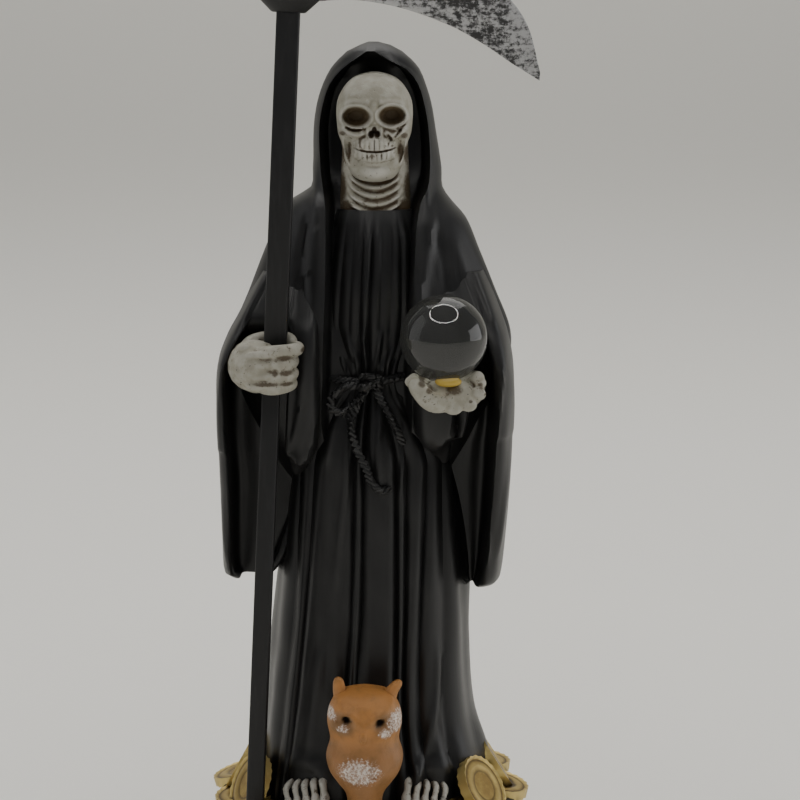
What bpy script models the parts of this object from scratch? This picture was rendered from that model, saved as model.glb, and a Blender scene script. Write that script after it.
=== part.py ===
"""Cast resin figurine of a hooded skeleton with a scythe, a clear ball and an owl.

Metres, +Z up. The origin is the middle of the flat underside, and the figure looks along -Y.
"""
import math

import bmesh
import bpy
import numpy as np
from mathutils import Matrix, Vector

# Driving dimensions
FIGURE_HEIGHT = 0.217        # top of the base to the crown of the hood
BASE_WIDTH = 0.088
BASE_DEPTH = 0.090
BASE_HEIGHT = 0.012
BASE_ROUND = 0.003           # rounded upper edge of the base
BASE_FORWARD = 0.006         # how far the base's middle lies in front of the origin's axis
COIN_DIAMETER = 0.0185
COIN_THICKNESS = 0.0030
COIN_RIM = 0.0012            # width of a coin's raised rim
COIN_RELIEF = 0.0005         # height of a coin's raised rim
SHAFT_UPPER_WIDTH = 0.0062   # above the fist
SHAFT_LOWER_WIDTH = 0.0049   # in and below the fist
SHAFT_DEPTH = 0.0052
SHAFT_EDGE = 0.0006          # bevel along the shaft's corners
SHAFT_LENGTH = 0.2280        # foot to the top of the collar
SHAFT_STEP = 0.0045          # where the shaft grows wider, above the fist's middle
SHAFT_LEAN = math.radians(2.8)
COLLAR_WIDTH = 0.0165
COLLAR_HEIGHT = 0.0036
BLADE_LENGTH = 0.0675        # shaft's axis to the blade's tip
BLADE_WIDTH = 0.0185         # at its widest
BLADE_THICKNESS = 0.0036
BALL_DIAMETER = 0.0237
CLEARANCE = 0.0003           # air between pieces that touch
CASTING_FACES = 7600         # triangles of the casting before its seats are cut

# The free form is drawn on a figure 217 units tall that stands on a ground at height 12
DRAWN_HEIGHT = 217.0
DRAWN_GROUND = 12.0
UNIT = FIGURE_HEIGHT / DRAWN_HEIGHT

GRIP = (-24.9, -31.5, 143.0)      # where the shaft's axis passes the fist
PALM_SEAT = (21.0, -36.0, 138.4)  # lowest point of the ball


def at(x, y, z):
    """A drawn point in metres."""
    return Vector((x * UNIT, y * UNIT, BASE_HEIGHT + (z - DRAWN_GROUND) * UNIT))


def smooth(table, key):
    """Read the columns of a short table at key, on a smooth curve through its rows."""
    index = sum(key >= row[0] for row in table[1:-1])
    low, high = np.array(table[index], float), np.array(table[index + 1], float)
    before = np.array(table[max(index - 1, 0)], float)
    after = np.array(table[min(index + 2, len(table) - 1)], float)
    span = high[0] - low[0]
    t = min(max((key - low[0]) / span, 0.0), 1.0)
    slope_low = (high[1:] - before[1:]) / (high[0] - before[0]) * span
    slope_high = (after[1:] - low[1:]) / (after[0] - low[0]) * span
    return ((2 * t ** 3 - 3 * t ** 2 + 1) * low[1:] + (t ** 3 - 2 * t ** 2 + t) * slope_low
            + (3 * t ** 2 - 2 * t ** 3) * high[1:] + (t ** 3 - t ** 2) * slope_high)


def ring_point(points, u):
    """A point at u, from 0 to 1, on a closed smooth curve through plan points."""
    count = len(points)
    index = int(u * count) % count
    t = u * count - math.floor(u * count)
    p0, p1, p2, p3 = (np.array(points[(index + k) % count], float) for k in (-1, 0, 1, 2))
    return 0.5 * (2 * p1 + (p2 - p0) * t + (2 * p0 - 5 * p1 + 4 * p2 - p3) * t * t
                  + (3 * p1 - p0 - 3 * p2 + p3) * t ** 3)


def bump(distance, width):
    """A rounded ridge one unit high, which ends at the width."""
    return math.cos(0.5 * math.pi * min(abs(distance) / width, 1.0)) ** 2


def ramp(value, low, high):
    """From 0 at low to 1 at high, eased."""
    t = min(max((value - low) / (high - low), 0.0), 1.0)
    return t * t * (3 - 2 * t)


def power(value, exponent):
    """A power that keeps the value's sign."""
    return math.copysign(abs(value) ** exponent, value)


def even(count, low=0.0, high=1.0):
    """Values from low to high, both ends included."""
    return [low + (high - low) * i / (count - 1) for i in range(count)]


def levels(table, between=1):
    """A table's own heights, with some more between each two."""
    found = [table[0][0]]
    for low, high in zip(table, table[1:]):
        found += [low[0] + (high[0] - low[0]) * (k + 1) / (between + 1) for k in range(between + 1)]
    return found


def solid_from(bm, name, collection):
    """Close, clean and turn outwards a bmesh, and make it an object."""
    bmesh.ops.remove_doubles(bm, verts=bm.verts, dist=1e-6)
    bmesh.ops.holes_fill(bm, edges=bm.edges, sides=0)
    bmesh.ops.recalc_face_normals(bm, faces=bm.faces)
    mesh = bpy.data.meshes.new(name)
    bm.to_mesh(mesh)
    bm.free()
    obj = bpy.data.objects.new(name, mesh)
    collection.objects.link(obj)
    return obj


def tube(name, columns, rows, place, collection):
    """A closed form: place(column, row) gives each point, the columns run round it."""
    bm = bmesh.new()
    bmesh.ops.create_grid(bm, x_segments=len(columns), y_segments=len(rows) - 1, size=0.5)
    for vert in bm.verts:
        column = columns[round((vert.co.x + 0.5) * len(columns)) % len(columns)]
        row = rows[round((vert.co.y + 0.5) * (len(rows) - 1))]
        vert.co = place(column, row)
    return solid_from(bm, name, collection)


def limb(name, route, collection, around=6, along=6, flat=1.0):
    """A finger, toe or cord: rows of a drawn point and a radius, with rounded ends."""
    table = [(i,) + tuple(row) for i, row in enumerate(route)]
    last = len(route) - 1

    def place(u, v):
        here = smooth(table, v * last)
        ahead = smooth(table, min(v * last + 0.05, last)) - smooth(table, max(v * last - 0.05, 0))
        axis = Vector(ahead[:3]).normalized()
        side = axis.cross(Vector((0.13, 0.21, 1.0))).normalized()
        up = side.cross(axis)
        swell = math.sqrt(max(1 - abs(2 * v - 1) ** 6, 0.0))
        turn = 2 * math.pi * u
        offset = (side * math.cos(turn) + up * math.sin(turn) * flat) * here[3] * swell
        return at(*(Vector(here[:3]) + offset))

    rows = [0.5 - 0.5 * math.cos(math.pi * v) for v in even(along + 1, 0.04, 0.96)]
    return tube(name, even(around + 1)[:-1], rows, place, collection)


# Gown: a straight robe from neckline to hem, its cloth carved in long folds

# height, middle in x, half width, front, back
GOWN = [
    (13.5, 1.7, 33.6, -29.5, 25.0),
    (21.0, 2.0, 32.6, -29.0, 24.2),
    (36.0, 0.3, 29.6, -26.6, 22.5),
    (58.0, 0.4, 27.8, -24.8, 21.0),
    (82.0, 1.6, 26.3, -23.6, 19.5),
    (112.0, 1.4, 22.5, -22.4, 17.8),
    (124.0, 1.2, 18.5, -21.4, 16.8),
    (135.0, 1.2, 16.0, -19.8, 15.5),
    (145.0, 1.4, 16.0, -20.4, 14.5),
    (160.0, 1.8, 15.6, -20.8, 14.0),
    (175.0, 2.3, 14.0, -18.8, 12.0),
    (181.0, 2.3, 12.2, -17.2, 9.4),
    (183.0, 2.3, 11.2, -16.4, 8.4),
]

# Fold lines of the front, left to right: x at four heights, and how far the line stands out
FOLD_HEIGHTS = (15.0, 40.0, 72.0, 112.0)
FOLD_LINES = [
    (-31.2, -28.2, -25.0, -21.0, 0.0), (-29.0, -26.4, -22.8, -19.8, 1.3), (-27.0, -24.0, -20.5, -18.8, 0.0),
    (-25.0, -22.0, -18.7, -17.2, 1.7), (-24.0, -20.6, -17.4, -14.8, 0.0), (-22.6, -19.0, -15.6, -12.2, 2.2),
    (-15.0, -13.0, -11.0, -8.6, 1.7), (-8.5, -8.0, -7.0, -5.5, 1.1), (-5.5, -6.2, -4.6, -3.6, 0.0),
    (-3.5, -5.0, -3.2, -2.2, 1.5), (-1.5, -3.2, -1.5, -0.9, 0.0), (2.0, 1.6, 1.6, 1.6, 1.6),
    (5.5, 5.6, 5.8, 5.6, 1.9), (8.0, 7.8, 8.4, 8.1, 0.0), (11.0, 9.0, 9.4, 9.6, 1.7),
    (13.0, 10.4, 10.8, 11.2, 0.0), (15.0, 12.0, 12.9, 15.0, 2.1), (18.0, 15.0, 15.2, 17.0, 0.0),
    (22.0, 18.8, 17.6, 19.4, 2.2), (26.0, 21.6, 21.6, 21.0, 0.0), (30.0, 25.0, 24.5, 22.6, 1.9),
    (33.6, 28.4, 26.6, 23.4, 0.0),
]
BREAST_TOP = 181.6
KNOT_HEIGHT = 136.0
KNOT_X = 1.2
PLEAT_HEIGHT = 1.0
BACK_FOLDS = 6
BACK_FOLD_HEIGHT = 1.8


def fold_line(index, z):
    """Place across the front and outward height of a fold line at a height."""
    line = FOLD_LINES[index]
    middle, half = smooth(GOWN, z)[:2]
    x = smooth([(h, line[i]) for i, h in enumerate(FOLD_HEIGHTS)], z)[0]
    if z > FOLD_HEIGHTS[-1]:
        waist_middle, waist_half = smooth(GOWN, FOLD_HEIGHTS[-1])[:2]
        x = middle + (x - waist_middle) / waist_half * half
    gathered = ramp(z, FOLD_HEIGHTS[-1], KNOT_HEIGHT + 4)
    spread = middle + half * (2 * index / (len(FOLD_LINES) - 1) - 1) * 0.96
    x += (spread - x) * gathered
    x += (KNOT_X - x) * 0.35 * bump(z - KNOT_HEIGHT, 16.0)
    pleat = PLEAT_HEIGHT * (index % 2) * ramp(z, BREAST_TOP, BREAST_TOP - 8)
    return x, line[-1] * (1 - gathered) + pleat * gathered


def gown(collection):
    def place(column, z):
        middle, half, front, back = smooth(GOWN, z)
        deep_middle, deep_half = (front + back) / 2, (back - front) / 2
        side, way = column
        if side == "front":
            index = min(int(way), len(FOLD_LINES) - 2)
            (x0, height0), (x1, height1) = fold_line(index, z), fold_line(index + 1, z)
            part = way - index
            curve = math.sin(math.pi / 2 * part) if height1 > height0 else 1 - math.cos(math.pi / 2 * part)
            x, relief = x0 + (x1 - x0) * part, height0 + (height1 - height0) * curve
            across = min(max((x - middle) / half, -0.99), 0.99)
            y = deep_middle - deep_half * (1 - abs(across) ** 2.6) ** (1 / 2.6)
            return at(x + relief * 0.5 * power(across, 3), y - relief * (1 - 0.7 * across ** 2), z)
        ends = (fold_line(index, z)[0] for index in (len(FOLD_LINES) - 1, 0))
        start, end = (math.asin(min(max((x - middle) / half, -0.99), 0.99)) for x in ends)
        turn = start + (2 * math.pi + end - start) * way
        relief = BACK_FOLD_HEIGHT * (0.5 - 0.5 * math.cos(2 * math.pi * BACK_FOLDS * way))
        relief *= ramp(z, 176.0, 100.0)
        x = middle + (half + relief) * math.sin(turn)
        return at(x, deep_middle - (deep_half + relief) * power(math.cos(turn), 0.77), z)

    columns = [("front", i) for i in range(len(FOLD_LINES))]
    columns += [("back", way) for way in even(2 * BACK_FOLDS + 1)[1:-1]]
    return tube("gown", columns, levels(GOWN, 0), place, collection)


# Cloak: hood, shoulders and upper arms, hollowed between its two front edges

# height, left, right, front, back, left edge, right edge, depth of the hollow
CLOAK = [
    (100.0, -19.0, 19.0, -14.0, 12.0, -8.0, 8.0, 0.5),
    (122.0, -32.0, 32.0, -21.5, 18.0, -12.5, 12.5, 2.0),
    (138.0, -38.5, 38.5, -25.0, 19.5, -12.2, 12.4, 5.0),
    (148.0, -38.3, 39.6, -25.5, 19.5, -11.9, 12.8, 6.0),
    (160.0, -33.6, 35.6, -24.0, 19.0, -11.5, 13.1, 6.0),
    (172.0, -28.8, 31.2, -21.6, 18.0, -11.3, 13.4, 6.5),
    (180.0, -25.0, 27.9, -19.6, 17.5, -11.3, 14.0, 7.5),
    (185.0, -21.6, 23.6, -18.0, 17.5, -11.5, 15.0, 9.0),
    (188.5, -16.0, 21.3, -17.0, 17.5, -12.2, 16.5, 10.0),
    (194.0, -15.4, 21.0, -15.6, 18.0, -12.9, 17.6, 11.0),
    (205.0, -15.2, 19.3, -14.0, 18.0, -13.3, 17.2, 11.0),
    (212.0, -14.2, 18.1, -13.2, 17.0, -12.2, 16.0, 10.5),
    (217.5, -12.4, 16.4, -12.8, 15.0, -10.2, 14.2, 9.5),
    (221.5, -10.3, 14.7, -12.4, 12.5, -6.9, 11.0, 8.0),
    (224.3, -7.9, 12.3, -11.8, 9.5, -3.2, 5.6, 5.5),
    (226.4, -5.6, 9.8, -11.0, 6.5, 0.0, 2.2, 0.0),
    (228.1, -2.0, 6.6, -8.0, 2.5, 0.1, 2.3, 0.0),
    (229.0, 0.4, 3.2, -4.5, -1.0, 1.0, 2.2, 0.0),
]
CLOAK_FOLDS = 5
CLOAK_FOLD_HEIGHT = 1.0
EDGE_ROLL = 0.5


def cloak(collection):
    def place(column, z):
        left, right, front, back, edge_left, edge_right, depth = smooth(CLOAK, z)
        middle, half = (left + right) / 2, (right - left) / 2
        deep_middle, deep_half = (front + back) / 2, (back - front) / 2

        def front_at(x):
            return deep_middle - deep_half * (1 - abs((x - middle) / half) ** 2.4) ** (1 / 2.4)

        side, way = column
        if side == "hollow":
            x = edge_left + (edge_right - edge_left) * way
            return at(x, front_at(x) + depth * ramp(min(way, 1 - way), 0.0, 0.09), z)
        start, end = (math.asin((edge - middle) / half) for edge in (edge_right, edge_left))
        turn = start + (2 * math.pi + end - start) * way
        x = middle + half * math.sin(turn)
        y = front_at(x) if math.cos(turn) > 0 else deep_middle - deep_half * power(math.cos(turn), 0.85)
        fold = CLOAK_FOLD_HEIGHT * math.cos(CLOAK_FOLDS * turn + 0.9 * math.sin(z / 30.0))
        fold *= ramp(z, 188.0, 150.0) * min(6 * way, 6 * (1 - way), 1)
        roll = EDGE_ROLL * bump(min(way, 1 - way), 0.05) * ramp(z, 226.0, 222.0)
        return at(x + fold * math.sin(turn), y - fold * math.cos(turn) - roll, z)

    columns = [("cloth", way) for way in [0.0, 0.025, 0.06] + even(15, 0.12, 0.88) + [0.94, 0.975, 1.0]]
    columns += [("hollow", way) for way in (0.04, 0.1, 0.35, 0.65, 0.9, 0.96)]
    return tube("cloak", columns, levels(CLOAK, 0), place, collection)


# Bell sleeves: a wall that hangs from the forearm round a hollow open to the front

# height, outer side, inner side, outer lip, inner lip, floor of the hollow, back, width of inner lip
LEFT_SLEEVE = [
    (77.2, -40.6, -28.0, -12.0, -9.0, -5.5, 9.0, 3.0),
    (79.2, -41.9, -26.0, -16.0, -10.5, -5.6, 12.0, 3.0),
    (85.0, -42.2, -22.6, -18.5, -11.0, -6.2, 13.8, 3.4),
    (104.0, -42.0, -17.0, -23.5, -10.0, -8.0, 15.5, 4.0),
    (112.3, -42.2, -16.0, -25.0, -21.0, -9.0, 15.5, 6.0),
    (113.2, -42.3, -15.0, -25.4, -25.0, -9.2, 15.5, 7.5),
    (118.0, -42.5, -13.2, -26.2, -27.0, -9.6, 15.5, 9.4),
    (128.0, -42.7, -12.2, -27.5, -28.0, -10.5, 15.0, 10.0),
    (140.0, -42.2, -12.0, -29.0, -28.5, -13.0, 14.0, 9.5),
    (148.0, -39.2, -12.0, -29.5, -28.0, -20.0, 13.0, 9.0),
    (153.0, -36.4, -12.2, -27.0, -26.5, -26.0, 12.0, 9.0),
    (166.0, -29.5, -13.5, -17.0, -17.0, -17.0, 9.0, 6.0),
]
RIGHT_SLEEVE = [
    (74.6, 37.4, 26.0, -12.0, -9.0, -5.5, 8.0, 3.0),
    (76.6, 38.4, 24.6, -16.0, -10.5, -6.0, 11.0, 3.0),
    (84.0, 39.4, 22.4, -18.0, -11.0, -6.6, 13.6, 3.4),
    (104.0, 40.9, 18.0, -23.5, -10.0, -8.0, 15.5, 4.0),
    (116.3, 41.2, 15.8, -26.0, -20.0, -9.3, 15.5, 8.0),
    (117.4, 41.3, 14.4, -26.4, -25.5, -9.5, 15.5, 10.0),
    (121.5, 41.5, 12.6, -27.2, -28.5, -10.2, 15.5, 14.0),
    (130.0, 41.7, 11.8, -28.5, -29.5, -11.0, 15.0, 16.4),
    (140.0, 41.2, 11.8, -29.0, -28.5, -14.0, 14.0, 15.0),
    (148.0, 39.6, 12.6, -28.0, -27.0, -22.0, 13.0, 12.0),
    (153.0, 38.0, 13.4, -25.5, -25.5, -25.0, 12.0, 9.0),
    (166.0, 33.0, 15.0, -16.0, -16.0, -16.0, 9.0, 6.0),
]
LEFT_WALL = 3.2
RIGHT_WALL = 5.2


def sleeve(name, table, wall, collection):
    def place(u, z):
        outer, inner, lip_out, lip_in, floor, back, flap = smooth(table, z)
        way = 1 if inner > outer else -1
        flank = (floor + back) / 2
        points = [
            ((outer + inner) / 2, back),
            (outer + way * 3.2, back - 3.5),
            (outer, flank),
            (outer + way * 0.3, (lip_out + flank) / 2),
            (outer + way * 0.45 * wall, min(lip_out + 1.6, floor - 0.4)),
            (outer + way * 1.15 * wall, lip_out),
            (outer + way * 1.35 * wall, floor),
            ((outer + way * 1.2 * wall + inner - way * flap) / 2, floor + 0.5),
            (inner - way * (flap + 0.6), floor),
            (inner - way * flap, min(lip_in + 1.6, floor - 0.3)),
            (inner - way * 0.8 * flap, lip_in),
            (inner - way * 0.2 * flap, lip_in + 0.4),
            (inner, (lip_in + flank) / 2),
            (inner, flank),
        ]
        return at(*ring_point(points, u), z)

    return tube(name, even(23)[:-1], levels(table, 0), place, collection)


# Neck and skull

NECK_RINGS = (182.4, 184.2, 185.9, 187.8, 190.1)


def neck(collection):
    def place(u, row):
        height, swell = row
        turn = 2 * math.pi * u
        radius = 9.9 - 0.05 * (height - 183.0)
        across = 1.3 * math.sin(turn)
        front = max(1 - across * across, 0.0) if math.cos(turn) < 0 else 0.0
        radius += swell * front
        return at(2.3 + radius * math.sin(turn), -7.0 + 0.92 * radius * math.cos(turn), height + 2.6 - 3.0 * front)

    rows = [(176.0, 0.0)]
    for ring in NECK_RINGS:
        rows += [(ring - 0.7, 0.6), (ring + 0.2, 0.6), (ring + 0.75, -0.4)]
    rows += [(197.0, -0.4), (203.0, -0.4)]
    return tube("neck", even(13)[:-1], rows, place, collection)


# height, half width, front, back
SKULL_MIDDLE = 2.2
SKULL = [
    (190.9, 2.6, -16.6, -10.0),
    (191.7, 5.0, -18.6, -8.0),
    (193.8, 6.9, -19.6, -6.0),
    (197.5, 8.5, -19.4, -4.0),
    (201.5, 9.2, -19.2, -3.0),
    (204.0, 10.1, -19.6, -2.0),
    (206.5, 10.4, -19.6, -1.5),
    (210.0, 10.6, -20.4, -1.0),
    (213.2, 10.2, -21.4, 0.0),
    (216.5, 8.6, -19.6, -2.0),
    (219.0, 6.3, -16.8, -4.0),
    (220.3, 3.6, -13.6, -6.0),
    (220.9, 1.0, -11.0, -8.0),
]
EYES = ((-2.8, 208.9), (6.8, 209.2))
TOOTH_WIDTH = 1.65
TEETH_PER_ROW = 8


def egg(name, collection, middle, half, around=12, down=8):
    """An ellipsoid at a drawn point, with its half sizes."""
    bm = bmesh.new()
    bmesh.ops.create_uvsphere(bm, u_segments=around, v_segments=down, radius=1.0)
    bmesh.ops.rotate(bm, matrix=Matrix.Rotation(math.pi / 2, 3, "X"), verts=bm.verts)
    for vert in bm.verts:
        vert.co = at(*(middle[i] + vert.co[i] * half[i] for i in range(3)))
    return solid_from(bm, name, collection)


def block(name, collection, middle, half, turn=0.0):
    """A box at a drawn point, turned about the vertical."""
    bm = bmesh.new()
    bmesh.ops.create_cube(bm, size=2.0)
    spin = Matrix.Rotation(turn, 3, "Z")
    for vert in bm.verts:
        vert.co = at(*(Vector(middle) + spin @ Vector(vert.co[i] * half[i] for i in range(3))))
    return solid_from(bm, name, collection)


def skull(collection):
    """The egg of the head with its cheekbones, jaw, sockets, nose and two rows of teeth."""
    def place(u, z):
        turn = math.pi * power(2 * u - 1, 1.25)
        half, front, back = smooth(SKULL, z)
        deep = math.cos(turn)
        y = (front + back) / 2 - (back - front) / 2 * power(deep, 0.8)
        return at(SKULL_MIDDLE + half * math.sin(turn), y, z)

    head = tube("skull", even(23)[:-1], levels(SKULL, 0), place, collection)
    teeth = []
    for row, (low, high) in enumerate(((196.4, 199.4), (200.1, 203.4))):
        for step in range(TEETH_PER_ROW):
            turn = (step - (TEETH_PER_ROW - 1) / 2) * TOOTH_WIDTH / 8.6
            spot = (SKULL_MIDDLE + 8.2 * math.sin(turn), -12.6 - 7.3 * math.cos(turn), (low + high) / 2)
            teeth.append(block("tooth", collection, spot, (0.42 * TOOTH_WIDTH, 1.0, (high - low) / 2), turn))
    cheeks = [egg("cheek", collection, (SKULL_MIDDLE + way * 7.0, -17.8, 205.0), (3.2, 3.2, 1.7), 8, 5)
              for way in (-1, 1)]
    brow = [limb("brow", [(SKULL_MIDDLE + way * 1.6, -21.0, 212.4, 1.2), (SKULL_MIDDLE + way * 5.2, -20.8, 213.0, 1.3),
                          (SKULL_MIDDLE + way * 9.4, -16.6, 211.8, 1.2)], collection, 6, 4) for way in (-1, 1)]
    holes = [egg("socket", collection, (x, -21.5, z), (3.9, 5.4, 2.9), 12, 7) for x, z in EYES]
    holes.append(egg("nose", collection, (SKULL_MIDDLE, -20.6, 204.8), (1.6, 2.6, 2.0), 6, 4))
    return [head] + teeth + cheeks + brow, holes


# Hands

def fist(collection):
    """The hand round the shaft, its back to the front and its fingers stacked."""
    made = [limb("back_of_hand", [(-31.4, -8.0, 141.1, 4.3), (-31.4, -26.0, 141.7, 6.0),
                                  (-29.7, -33.0, 142.1, 6.8), (-25.6, -34.4, 142.1, 6.3)],
                 collection, 10, 7, 1.08)]
    for step, (height, reach) in enumerate([(146.9, 0.2), (143.5, -0.5), (140.1, -0.6), (137.2, -1.0)]):
        made.append(limb("finger_%d" % step, [
            (-30.1, -36.6, height - 0.3, 2.0), (-25.2, -38.8, height, 2.2),
            (-20.5 + reach, -37.4, height + 0.2, 2.1), (-19.5 + reach, -33.2, height + 0.3, 1.9),
            (-21.5 + reach, -30.6, height + 0.2, 1.8)], collection, 6, 6))
    made.append(limb("thumb", [(-30.5, -29.0, 147.4, 2.1), (-26.0, -26.8, 148.2, 2.1),
                               (-21.0, -28.6, 147.8, 2.1), (-19.2, -32.4, 146.8, 1.9)], collection, 6, 6))
    return made


def cupped_hand(collection):
    """The open hand under the ball: a shallow bowl of palm and fingers."""
    made = [limb("palm", [(30.0, -8.0, 136.0, 4.2), (28.2, -26.0, 134.8, 4.6), (26.4, -34.0, 134.9, 5.0),
                          (22.0, -37.0, 134.8, 5.0), (16.0, -37.0, 136.6, 4.0)], collection, 9, 8, 0.9)]
    for step in range(4):
        lean = step - 1.5
        made.append(limb("cup_finger_%d" % step, [
            (26.4 - 0.8 * lean, -34.0 - 2.4 * lean, 134.0, 2.8),
            (20.8 - 1.5 * lean, -37.5 - 3.2 * lean, 133.4 + 0.3 * abs(lean), 2.7),
            (14.6, -37.2 - 3.6 * lean, 136.6 + 0.2 * abs(lean), 2.3),
            (11.8 + 0.3 * abs(lean), -36.8 - 3.2 * lean, 140.8 - 0.4 * abs(lean), 1.9)], collection, 6, 5))
    made.append(limb("cup_thumb", [(28.8, -29.0, 135.2, 2.8), (29.6, -36.0, 137.2, 2.4),
                                   (30.2, -40.0, 141.0, 1.7)], collection, 6, 4))
    return made


# Rope belt, bow and tails

ROPE = 1.5

ROPE_ROUTES = {
    "belt_left": [(-12.0, -17.5, 136.6), (-7.0, -20.2, 136.2), (-1.0, -22.6, 136.0)],
    "belt_right": [(3.0, -22.6, 136.2), (8.0, -20.6, 136.8), (12.5, -17.5, 137.0)],
    "bow_left": [(0.6, -24.2, 135.8), (-5.4, -25.4, 135.2), (-9.4, -25.0, 132.4), (-9.6, -25.0, 129.0),
                 (-6.0, -25.6, 128.0), (-2.6, -25.8, 131.4), (0.6, -25.0, 135.0)],
    "tail_left": [(-0.4, -24.6, 134.2), (-3.2, -25.6, 129.0), (-4.5, -25.8, 123.6), (-3.0, -25.6, 117.6),
                  (-0.4, -25.4, 112.6), (1.6, -25.4, 107.8), (4.0, -25.4, 105.8), (7.0, -25.2, 106.6)],
    "tail_right": [(1.8, -24.6, 135.2), (5.0, -25.6, 130.2), (7.4, -25.8, 125.2), (9.4, -25.6, 120.6),
                   (10.4, -25.0, 118.8)],
}


def rope_belt(collection):
    made = [egg("knot", collection, (0.9, -24.0, 136.0), (3.0, 3.4, 2.7), 8, 5)]
    for name, route in ROPE_ROUTES.items():
        made.append(limb(name, [point + (ROPE,) for point in route], collection, 5, 2 * len(route) - 1))
    return made


# Owl at the hem

# height, half width, front, back, all from the owl's own middle
OWL_MIDDLE = (-0.6, -39.5)
OWL = [
    (9.0, 4.0, -4.0, 6.0),
    (14.0, 4.4, -5.6, 8.0),
    (20.0, 4.8, -6.8, 10.0),
    (23.5, 5.6, -7.8, 11.0),
    (27.0, 7.9, -9.2, 12.0),
    (30.0, 9.9, -10.2, 12.0),
    (34.0, 10.7, -10.4, 12.0),
    (38.7, 9.6, -9.2, 11.0),
    (43.5, 10.3, -9.6, 10.0),
    (47.0, 10.1, -9.6, 9.0),
    (50.0, 9.0, -8.6, 8.0),
    (52.7, 6.8, -6.0, 5.0),
    (54.0, 2.2, -2.0, 1.0),
]


def owl(collection):
    def place(u, z):
        half, front, back = smooth(OWL, z)
        turn = 2 * math.pi * (u - 0.5)
        deep = math.cos(turn)
        y = OWL_MIDDLE[1] + (front + back) / 2 - (back - front) / 2 * deep
        return at(OWL_MIDDLE[0] + half * math.sin(turn), y, z)

    body = tube("owl", even(17)[:-1], levels(OWL, 0), place, collection)
    x, y = OWL_MIDDLE
    added = [egg("beak", collection, (x - 0.2, y - 9.0, 42.0), (1.5, 1.8, 2.4), 6, 4)]
    cuts = []
    for way in (-1, 1):
        added.append(limb("owl_ear", [(x + way * 5.8, y, 49.4, 2.7), (x + way * 7.2 + 0.4, y - 0.5, 52.8, 2.0),
                                      (x + way * 8.6 + 1.4, y - 1.0, 55.8 - way * 0.5, 1.3)], collection, 5, 4))
        added.append(limb("owl_brow", [(x + way * 0.4, y - 9.3, 44.4, 1.2), (x + way * 4.2, y - 8.8, 48.4, 1.6),
                                       (x + way * 8.0, y - 4.6, 52.0, 1.6)], collection, 5, 4))
        cuts.append(egg("owl_eye", collection, (x - 0.3 + way * 4.5, y - 9.8, 46.0), (1.7, 2.2, 1.8), 8, 5))
    return [body] + added, cuts


# Feet, base and coins

FEET = ((-17.4, 1), (16.4, -1))
TOES = 5


def feet(collection):
    made = []
    for middle, inward in FEET:
        for toe in range(TOES):
            x = middle + inward * (5.4 - 2.6 * toe)
            size = 1.75 - 0.13 * toe
            made.append(limb("toe", [(x * 0.93, -24.0, 20.5, size), (x, -30.0, 20.8 - 0.5 * toe, size),
                                     (x + 0.1, -34.2 + 0.5 * toe, 16.4, size * 0.95),
                                     (x + 0.1, -36.5 + 0.6 * toe, 11.5, size * 0.8)], collection, 5, 4))
    return made


def base(collection):
    """The low oval base, flat below and round above its rim."""
    bm = bmesh.new()
    bmesh.ops.create_cone(bm, cap_ends=True, segments=32, radius1=1.0, radius2=1.0, depth=1.0)
    for vert in bm.verts:
        across, deep = vert.co.x * BASE_WIDTH / 2, vert.co.y * BASE_DEPTH / 2
        vert.co = Vector((across, deep - BASE_FORWARD, BASE_HEIGHT * (vert.co.z + 0.5)))
    top = [edge for edge in bm.edges if all(v.co.z > BASE_HEIGHT * 0.9 for v in edge.verts)]
    bmesh.ops.bevel(bm, geom=top, offset=BASE_ROUND, segments=2, profile=0.5, affect="EDGES", material=-1)
    return solid_from(bm, "base", collection)


# Lower ring of coins that lie on the base, and upper ring of coins that lean on the hem
LOWER_COINS = 11
UPPER_COIN_TURNS = (6, 50, 130, 174, 204, 332)


def coin(name, collection, place):
    bm = bmesh.new()
    bmesh.ops.create_cone(bm, cap_ends=True, segments=12, radius1=COIN_DIAMETER / 2,
                          radius2=COIN_DIAMETER / 2, depth=COIN_THICKNESS)
    upper = [face for face in bm.faces if face.normal.z > 0.9]
    bmesh.ops.inset_region(bm, faces=upper, thickness=COIN_RIM, depth=0.0)
    for vert in {v for face in upper for v in face.verts}:
        vert.co.z -= COIN_RELIEF
    bmesh.ops.transform(bm, matrix=place, verts=bm.verts)
    return solid_from(bm, name, collection)


def coin_place(degrees, out, height, tilt):
    """A spot on the base by its angle (270 is to the front), with the coin tilted outwards."""
    around = math.radians(degrees)
    spot = Vector((BASE_WIDTH / 2 * out * math.cos(around), BASE_DEPTH / 2 * out * math.sin(around)
                   - BASE_FORWARD, BASE_HEIGHT + height))
    return (Matrix.Translation(spot) @ Matrix.Rotation(around, 4, "Z")
            @ Matrix.Rotation(math.radians(tilt), 4, "Y") @ Matrix.Rotation(around * 3, 4, "Z"))


def coins(collection):
    made = []
    for step in range(LOWER_COINS):
        turn = 360 * step / LOWER_COINS + 4 * math.sin(5 * step)
        out = 0.86 + 0.05 * math.sin(3 * step)
        place = coin_place(turn, out, COIN_THICKNESS * (0.35 + 0.25 * math.sin(7 * step)), 12 + 6 * math.sin(4 * step))
        made.append(coin("coin_%d" % step, collection, place))
    for step, turn in enumerate(UPPER_COIN_TURNS):
        place = coin_place(turn, 0.84, COIN_DIAMETER * 0.36, 58 + 6 * math.sin(5 * step))
        made.append(coin("leaning_coin_%d" % step, collection, place))
    return made


# Scythe

def shaft_frame():
    """Places the scythe's own frame: origin on its axis at the fist, +Z up its leaning shaft."""
    return Matrix.Translation(at(*GRIP)) @ Matrix.Rotation(SHAFT_LEAN, 4, "Y")


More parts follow.
